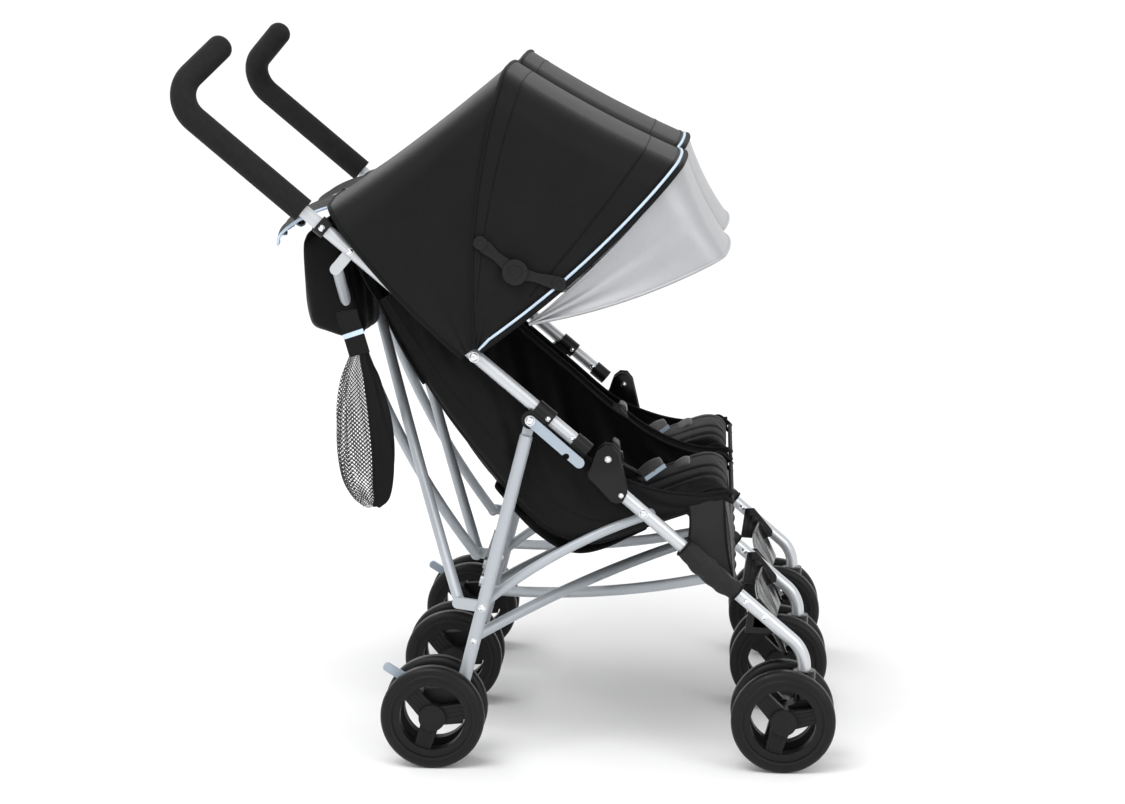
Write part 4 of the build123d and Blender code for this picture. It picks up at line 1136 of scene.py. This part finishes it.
class STROLLER_OT_bags(bpy.types.Operator):
    """Make the storage pockets with their flaps, and the mesh bag on its strap"""
    bl_idname = "stroller.bags"
    bl_label = "Bags"

    def execute(self, context):
        for bay, (low, high) in BAYS.items():
            y0, y1 = low + 0.042, high - 0.042
            outline = ((-0.291, 0.762), (-0.297, 0.754), (-0.297, 0.720), (-0.295, 0.672), (-0.288, 0.634),
                       (-0.280, 0.623), (-0.256, 0.616), (-0.226, 0.610), (-0.206, 0.622), (-0.212, 0.668),
                       (-0.224, 0.716), (-0.240, 0.762), (-0.266, 0.772))
            pocket = bag(f"{bay}_pocket", outline, y0, y1, 0.0, 3)
            place(pocket, FINISHES["seat"], "centre_frame", ["rear_pockets"])
            self.flap(bay, y0, y1)
            self.back_sheet(bay, low + 0.028, high - 0.028)
        self.mesh_bag()
        return {"FINISHED"}

    def flap(self, bay, y0, y1):
        """Pocket flap with a piped edge."""
        line = curve_through(((-0.236, 0.806), (-0.270, 0.797), (-0.304, 0.780), (-0.326, 0.762),
                              (-0.330, 0.748)), 20)
        rows = []
        for i, q in enumerate(line):
            u = i / 19
            rows.append([(q[0] + 0.003 * math.sin(k * 0.7 + u), y,
                          q[1] + (0.012 * math.sin(math.pi * k / 35) + 0.002 * math.sin(k * 1.1)) * u)
                         for k, y in enumerate(np.linspace(y0 - 0.012, y1 + 0.012, 36))])
        piece = thicken(outward(grid(f"{bay}_pocket_flap", rows)), 0.0022, 0.0, 1)
        place(piece, FINISHES["seat"], "centre_frame")
        declare_sheet(piece, y1 - y0 + 0.024)
        edge = [r[0] for r in rows] + rows[-1][1:-1] + [r[-1] for r in rows[::-1]]
        pipe = sweep(f"{bay}_flap_piping", resample(np.array(edge), 180), round_section(0.0021, 8))
        place(pipe, FINISHES["piping"], "centre_frame")

    def back_sheet(self, bay, y0, y1):
        """Cloth from the canopy's rear edge down behind the seat's top."""
        line = curve_through(((-0.238, 0.800), (-0.224, 0.740), (-0.200, 0.690), (-0.182, 0.664),
                              (-0.160, 0.620), (-0.120, 0.548)), 30)
        rows = [[(q[0] - 0.006 * math.sin(math.pi * k / 31) + 0.0022 * math.sin(k * 0.8 + 6 * i / 29),
                  y, q[1])
                 for k, y in enumerate(np.linspace(y0, y1, 32))] for i, q in enumerate(line)]
        piece = thicken(outward(grid(f"{bay}_back_sheet", rows)), 0.0018, 0.0, 1)
        place(piece, FINISHES["seat"], "centre_frame")
        declare_sheet(piece, y1 - y0)

    def mesh_bag(self):
        """Net bag with a solid band, gathered under its strap."""
        stations = ((0.606, -0.206, 0.010), (0.590, -0.208, 0.015), (0.560, -0.206, 0.027),
                    (0.510, -0.203, 0.037), (0.455, -0.199, 0.040), (0.415, -0.197, 0.036),
                    (0.390, -0.193, 0.026), (0.378, -0.192, 0.012))
        shape = curve_through(stations, 44)
        rows = []
        for i, (z, x, r) in enumerate(shape):
            row = []
            for k in range(64):
                a = 2 * math.pi * k / 64
                wave = 1 + 0.05 * math.sin(6 * a + 0.12 * i) + 0.03 * math.sin(11 * a - 0.2 * i)
                row.append((x + r * wave * math.cos(a), -0.351 + 0.50 * r * wave * math.sin(a),
                            z + 0.0015 * math.sin(4 * a)))
            rows.append(row)
        def part(name, columns, finish, thickness):
            made = thicken(outward(grid(name, [[row[c % 64] for c in columns] for row in rows])),
                           thickness, 0.0, 1)
            place(made, FINISHES[finish], "right_frame", ["mesh_bag"], False)
            declare_sheet(made, 0.24)
        part("mesh_bag_net", range(13, 52), "netting", 0.0007)
        part("mesh_bag_band", range(-13, 14), "seat", 0.0014)
        seams = []
        for c in (13, 51):
            line = np.array([row[c] for row in rows])
            seams.append(sweep("seam", resample(line, 70), round_section(0.0020, 8)))
        seams.append(sweep("gather", resample(np.array([*rows[1], rows[1][0]]), 64), round_section(0.0022, 8),
                           (0, 0.01, 1)))
        place(join("mesh_bag_seams", seams), FINISHES["binding"], "right_frame", (), False)
        route = curve_through(((-0.206, 0.598), (-0.213, 0.622), (-0.221, 0.646), (-0.224, 0.660)), 20)
        strap = sweep("mesh_bag_strap", [p3(q, -0.3575) for q in route], strap_section(0.030, 0.0022),
                      (0, 1, 0))
        place(strap, FINISHES["webbing"], "right_frame", (), False)
        band = sweep("mesh_bag_stripe", [p3(q, -0.3592) for q in route[8:11]], strap_section(0.031, 0.0012))
        place(band, FINISHES["piping"], "right_frame", (), False)


# ---- rivets, hub caps and spokes --------------------------------------------------------
def repeat_tree(name, finish):
    """Geometry Nodes tree: copies of one shape at every point, turned by each point's own angle."""
    tree = bpy.data.node_groups.new(name, "GeometryNodeTree")
    face = tree.interface
    for label, kind in (("Geometry", "NodeSocketGeometry"), ("Shape", "NodeSocketObject"),
                        ("Scale", "NodeSocketFloat")):
        face.new_socket(label, in_out="INPUT", socket_type=kind)
    face.new_socket("Geometry", in_out="OUTPUT", socket_type="NodeSocketGeometry")
    start, end = tree.nodes.new("NodeGroupInput"), tree.nodes.new("NodeGroupOutput")
    shape = tree.nodes.new("GeometryNodeObjectInfo")
    turn = tree.nodes.new("GeometryNodeInputNamedAttribute")
    turn.data_type = "FLOAT_VECTOR"
    turn.inputs["Name"].default_value = "turn"
    size = tree.nodes.new("GeometryNodeInputNamedAttribute")
    size.data_type = "FLOAT"
    size.inputs["Name"].default_value = "size"
    scale = tree.nodes.new("ShaderNodeMath")
    scale.operation = "MULTIPLY"
    copies = tree.nodes.new("GeometryNodeInstanceOnPoints")
    real = tree.nodes.new("GeometryNodeRealizeInstances")
    paint = tree.nodes.new("GeometryNodeSetMaterial")
    paint.inputs["Material"].default_value = finish
    link = tree.links.new
    link(start.outputs["Geometry"], copies.inputs["Points"])
    link(start.outputs["Shape"], shape.inputs["Object"])
    link(shape.outputs["Geometry"], copies.inputs["Instance"])
    link(turn.outputs["Attribute"], copies.inputs["Rotation"])
    link(size.outputs["Attribute"], scale.inputs[0])
    link(start.outputs["Scale"], scale.inputs[1])
    link(scale.outputs[0], copies.inputs["Scale"])
    link(copies.outputs["Instances"], real.inputs["Geometry"])
    link(real.outputs["Geometry"], paint.inputs["Geometry"])
    link(paint.outputs["Geometry"], end.inputs["Geometry"])
    return tree


def repeated(name, shape, finish, spots, body):
    """One mesh of copies of a shape at spots of (x, y, z, angle about Y, size), riding on a body."""
    holder = mesh_object(name, [s[:3] for s in spots], [])
    turn = holder.data.attributes.new("turn", "FLOAT_VECTOR", "POINT")
    turn.data.foreach_set("vector", [v for s in spots for v in (0.0, s[3], 0.0)])
    size = holder.data.attributes.new("size", "FLOAT", "POINT")
    size.data.foreach_set("value", [s[4] for s in spots])
    tree = repeat_tree(f"{name}_tree", finish)
    modifier = holder.modifiers.new("copies", "NODES")
    modifier.node_group = tree
    keys = {i.name: i.identifier for i in tree.interface.items_tree if i.in_out == "INPUT"}
    modifier[keys["Shape"]] = shape
    modifier[keys["Scale"]] = 1.0
    settle(holder)
    smooth(holder, 40.0)
    return place(holder, finish, body, (), False)


def turned_solid(name, profile, sides=18):
    """Solid of revolution about Y from (radius, y) pairs that start and end on the axis."""
    verts, faces, rings = [], [], []
    for r, y in profile:
        if r < 1e-6:
            rings.append([len(verts)])
            verts.append((0, y, 0))
        else:
            rings.append(list(range(len(verts), len(verts) + sides)))
            angles = np.linspace(0, 2 * math.pi, sides + 1)[:-1]
            verts += [(r * math.cos(a), y, r * math.sin(a)) for a in angles]
    for a, b in zip(rings, rings[1:]):
        for k in range(sides):
            quad = (a[k % len(a)], a[(k + 1) % len(a)], b[(k + 1) % len(b)], b[k % len(b)])
            faces.append(tuple(dict.fromkeys(quad)))
    return smooth(outward(mesh_object(name, verts, faces)), 35.0)


class STROLLER_OT_fittings(bpy.types.Operator):
    """Make rivets, knee covers, hub caps, spoke ribs and tyre rings"""
    bl_idname = "stroller.fittings"
    bl_label = "Rivets, caps and ribs"

    def execute(self, context):
        dome = turned_solid("dome", [(0, -0.0030), (0.0022, -0.0026), (0.0038, -0.0014), (0.0044, 0.0),
                                     (0.0052, 0.0002), (0.0052, 0.0010), (0, 0.0010)])
        cap = turned_solid("cap", [(0, -0.0030), (0.010, -0.0026), (0.0165, -0.0010), (0.0180, 0.0012),
                                   (0.0195, 0.0016), (0.0195, 0.0030), (0, 0.0030)], 32)
        rib = slab("rib", [(0.020, -0.0016), (0.0450, -0.0012), (0.0450, 0.0012), (0.020, 0.0016)],
                   -0.0014, 0.0010, 0.0005)
        ring = turned_solid("ring", [(0.0585, -0.0010), (0.0600, -0.0018), (0.0622, -0.0018),
                                     (0.0634, -0.0006), (0.0620, 0.0016), (0.0585, 0.0016),
                                     (0.0585, -0.0010)], 64)
        self.rivets(dome)
        for name, y in STATIONS.items():
            self.knee_cover(name, y)
        for name, y in STATIONS.items():
            self.wheels(name, y, cap, rib, ring)
        for shape in (dome, cap, rib, ring):
            bpy.data.objects.remove(shape)
        return {"FINISHED"}

    def knee_cover(self, name, y):
        """Glossy covers over the knee plates and the front leg's top end."""
        outline = [(0.1185, 0.430), (0.1195, 0.422), (0.150, 0.389), (0.158, 0.386), (0.167, 0.388),
                   (0.174, 0.402), (0.165, 0.441), (0.161, 0.458), (0.152, 0.469), (0.140, 0.470),
                   (0.130, 0.462), (0.1255, 0.450)]
        parts = [slab("cover", outline, y + side * 0.0130, y + side * 0.0152, 0.0009) for side in (-1, 1)]
        corner = [(0.117, 0.430), (0.118, 0.422), (0.1245, 0.4155), (0.1275, 0.4185), (0.1235, 0.4245),
                  (0.129, 0.439), (0.1235, 0.4435)]
        parts.append(slab("end", corner, y - 0.0130, y + 0.0130, 0.0006))
        place(join(f"{name}_knee_covers", parts), FINISHES["glossy"], f"{name}_front_leg",
              (), False)

    def rivets(self, dome):
        """Domed rivets on both faces of the tubes, one mesh for each body."""
        leg = np.array(REAR_LEG_END) - np.array(LEG_PIVOT)
        leg = leg / np.linalg.norm(leg)
        stay = np.array(LEG_PIVOT) + leg * 0.283
        front = np.array(LEG_BEND) - np.array(LEG_TOP)
        front = front / np.linalg.norm(front)
        top = np.array(LEG_TOP)
        for name, y in STATIONS.items():
            frame_body = f"{name}_frame"
            shown = [(CANOPY_PIVOT, 0.0177 if name != "centre" else 0.0168, 1.45),
                     (along_handle(-0.386), 0.0097, 1.0), (along_handle(0.024), 0.0100, 0.8),
                     (along_handle(-0.020), 0.0130, 0.7)]
            if name != "centre":
                shown.append((along_handle(-0.438), 0.0134, 0.9))
            spots = [(q[0], y + s * out, q[1], 0.0, size * -s) for q, out, size in shown for s in (-1, 1)]
            repeated(f"{name}_frame_rivets", dome, FINISHES["chrome"], self.faced(spots), frame_body)
            shown = [(stay, 0.0098, 1.1), (np.array(LEG_PIVOT) + leg * 0.334, 0.0097, 0.9)]
            spots = [(q[0], y + s * out, q[1], 0.0, size * -s) for q, out, size in shown for s in (-1, 1)]
            repeated(f"{name}_rear_leg_rivets", dome, FINISHES["chrome"], self.faced(spots),
                     f"{name}_rear_leg")
            shown = [(np.array(KNEE), 0.0154, 0.9), (top + front * 0.052, 0.0154, 0.7),
                     (top + front * 0.094, 0.0098, 1.25), (top + front * 0.288, 0.0098, 0.9),
                     (top + front * 0.322, 0.0098, 0.9)]
            spots = [(q[0], y + s * out, q[1], 0.0, size * -s) for q, out, size in shown for s in (-1, 1)]
            repeated(f"{name}_front_leg_rivets", dome, FINISHES["chrome"], self.faced(spots),
                     f"{name}_front_leg")
        spots = [(LEG_PIVOT[0], -PITCH - 0.0178, LEG_PIVOT[1], 0.0, 1.4)]
        repeated("hook_rivet", dome, FINISHES["chrome"], spots, "right_frame")

    def faced(self, spots):
        """Spots on the far face, turned half round about X by a negative size's sign."""
        return [(x, y, z, 0.0, abs(size)) if size > 0 else (x, y, z, math.pi, abs(size))
                for x, y, z, _, size in spots]

    def wheels(self, name, y, cap, rib, ring):
        """Hub caps, ribs on the spokes and a raised ring on the tyre walls."""
        for end, x in (("front", 0.398), ("rear", -0.105)):
            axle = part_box(f"{name}_{end}_wheels")
            z = (axle[0].z + axle[1].z) / 2
            body = f"{name}_{end}_wheels"
            outer = 0.0440
            caps = [(x, y - outer + 0.0008, z, 0.0, 1.0), (x, y + outer - 0.0008, z, math.pi, 1.0)]
            repeated(f"{name}_{end}_hub_caps", cap, FINISHES["wheel"], caps, body)
            rings = [(x, y + s * (outer - 0.0005), z, 0.0 if s < 0 else math.pi, 1.0) for s in (-1, 1)]
            repeated(f"{name}_{end}_tyre_rings", ring, FINISHES["tyre"], rings, body)
            ribs = []
            for side in (-1, 1):
                face = y + side * (outer - 0.0057)
                for spoke in range(3):
                    a = math.radians(12 + 120 * spoke)
                    for k in (-1, 0, 1):
                        dx, dz = -math.sin(a) * 0.0062 * k, math.cos(a) * 0.0062 * k
                        ribs.append((x + dx, face, z + dz, -a, 1.0))
            repeated(f"{name}_{end}_spoke_ribs", rib, FINISHES["wheel"], ribs, body)


# ---- stage ------------------------------------------------------------------------------
class STROLLER_OT_stage(bpy.types.Operator):
    """Make the pale floor, the soft light and the camera"""
    bl_idname = "stroller.stage"
    bl_label = "Stage"

    def execute(self, context):
        s = context.scene.stroller_stage
        floor_finish = Finish("floor", (0.90, 0.90, 0.905), 0.75)
        floor_finish.vary("Roughness", 0.70, 0.80, floor_finish.noise(3.0, 2.0))
        far = 9.0
        profile = [(-far, 0.0), (3.2, 0.0)]
        profile += [(3.2 + 1.6 * math.sin(a), 1.6 - 1.6 * math.cos(a)) for a in np.linspace(0.15, 1.57, 14)]
        profile += [(4.8, 7.0)]
        rows = [[(x, y, z) for x in np.linspace(-far, far, 5)] for y, z in profile]
        floor = smooth(grid("floor", rows), 60)
        floor.data.materials.append(floor_finish.material)
        world = bpy.data.worlds.new("studio")
        world.use_nodes = True
        sky = world.node_tree.nodes["Background"]
        sky.inputs["Color"].default_value = (1, 1, 1, 1)
        sky.inputs["Strength"].default_value = s.sky
        context.scene.world = world
        for name, place_at, aim, power, width in (
            ("key", (-0.9, -1.8, 3.4), (0.0, 0.0, 0.4), s.key_power, 2.2),
            ("side", (2.6, -2.6, 1.7), (0.1, 0.0, 0.5), s.key_power * 0.45, 1.4),
            ("back", (-1.8, 2.4, 2.6), (0.0, 0.0, 0.6), s.key_power * 0.40, 1.6),
        ):
            light = bpy.data.lights.new(name, "AREA")
            light.energy = power
            light.shape = "RECTANGLE"
            light.size, light.size_y = width, width * 0.8
            lamp = bpy.data.objects.new(name, light)
            lamp.location = place_at
            lamp.rotation_euler = (Vector(aim) - Vector(place_at)).to_track_quat("-Z", "Y").to_euler()
            context.scene.collection.objects.link(lamp)
        camera = bpy.data.cameras.new("view")
        camera.sensor_width = 36.0
        camera.lens = s.lens
        camera.clip_end = 60.0
        eye = bpy.data.objects.new("view", camera)
        eye.location = s.camera_at
        level = math.cos(s.tilt)
        look = Vector((math.sin(s.yaw) * level, math.cos(s.yaw) * level, math.sin(s.tilt)))
        eye.rotation_euler = look.to_track_quat("-Z", "Y").to_euler()
        context.scene.collection.objects.link(eye)
        context.scene.camera = eye
        context.scene.view_settings.view_transform = "Standard"
        return {"FINISHED"}


STEPS = [
    STROLLER_OT_finishes,
    STROLLER_OT_canopies,
    STROLLER_OT_seats,
    STROLLER_OT_leg_panels,
    STROLLER_OT_bags,
    STROLLER_OT_fittings,
    STROLLER_OT_stage,
]


class STROLLER_PT_panel(bpy.types.Panel):
    """Sidebar list of the stroller's steps"""
    bl_idname = "STROLLER_PT_panel"
    bl_label = "Twin stroller"
    bl_space_type = "VIEW_3D"
    bl_region_type = "UI"
    bl_category = "Stroller"

    def draw(self, context):
        for group in ("stroller_stage", "stroller_colours", "stroller_canopy", "stroller_seat"):
            values = getattr(context.scene, group)
            for key in type(values).__annotations__:
                self.layout.prop(values, key)
        for step in STEPS:
            self.layout.operator(step.bl_idname)


GROUPS = {
    "stroller_stage": StrollerStage,
    "stroller_colours": StrollerColours,
    "stroller_canopy": StrollerCanopy,
    "stroller_seat": StrollerSeat,
}


def register():
    for cls in (*GROUPS.values(), *STEPS, STROLLER_PT_panel):
        bpy.utils.register_class(cls)
    for name, cls in GROUPS.items():
        setattr(bpy.types.Scene, name, PointerProperty(type=cls))


def unregister():
    for name in GROUPS:
        delattr(bpy.types.Scene, name)
    for cls in (STROLLER_PT_panel, *reversed(STEPS), *GROUPS.values()):
        bpy.utils.unregister_class(cls)


def main():
    register()
    for step in STEPS:
        group, name = step.bl_idname.split(".")
        getattr(getattr(bpy.ops, group), name)()


if __name__ == "__main__":
    main()
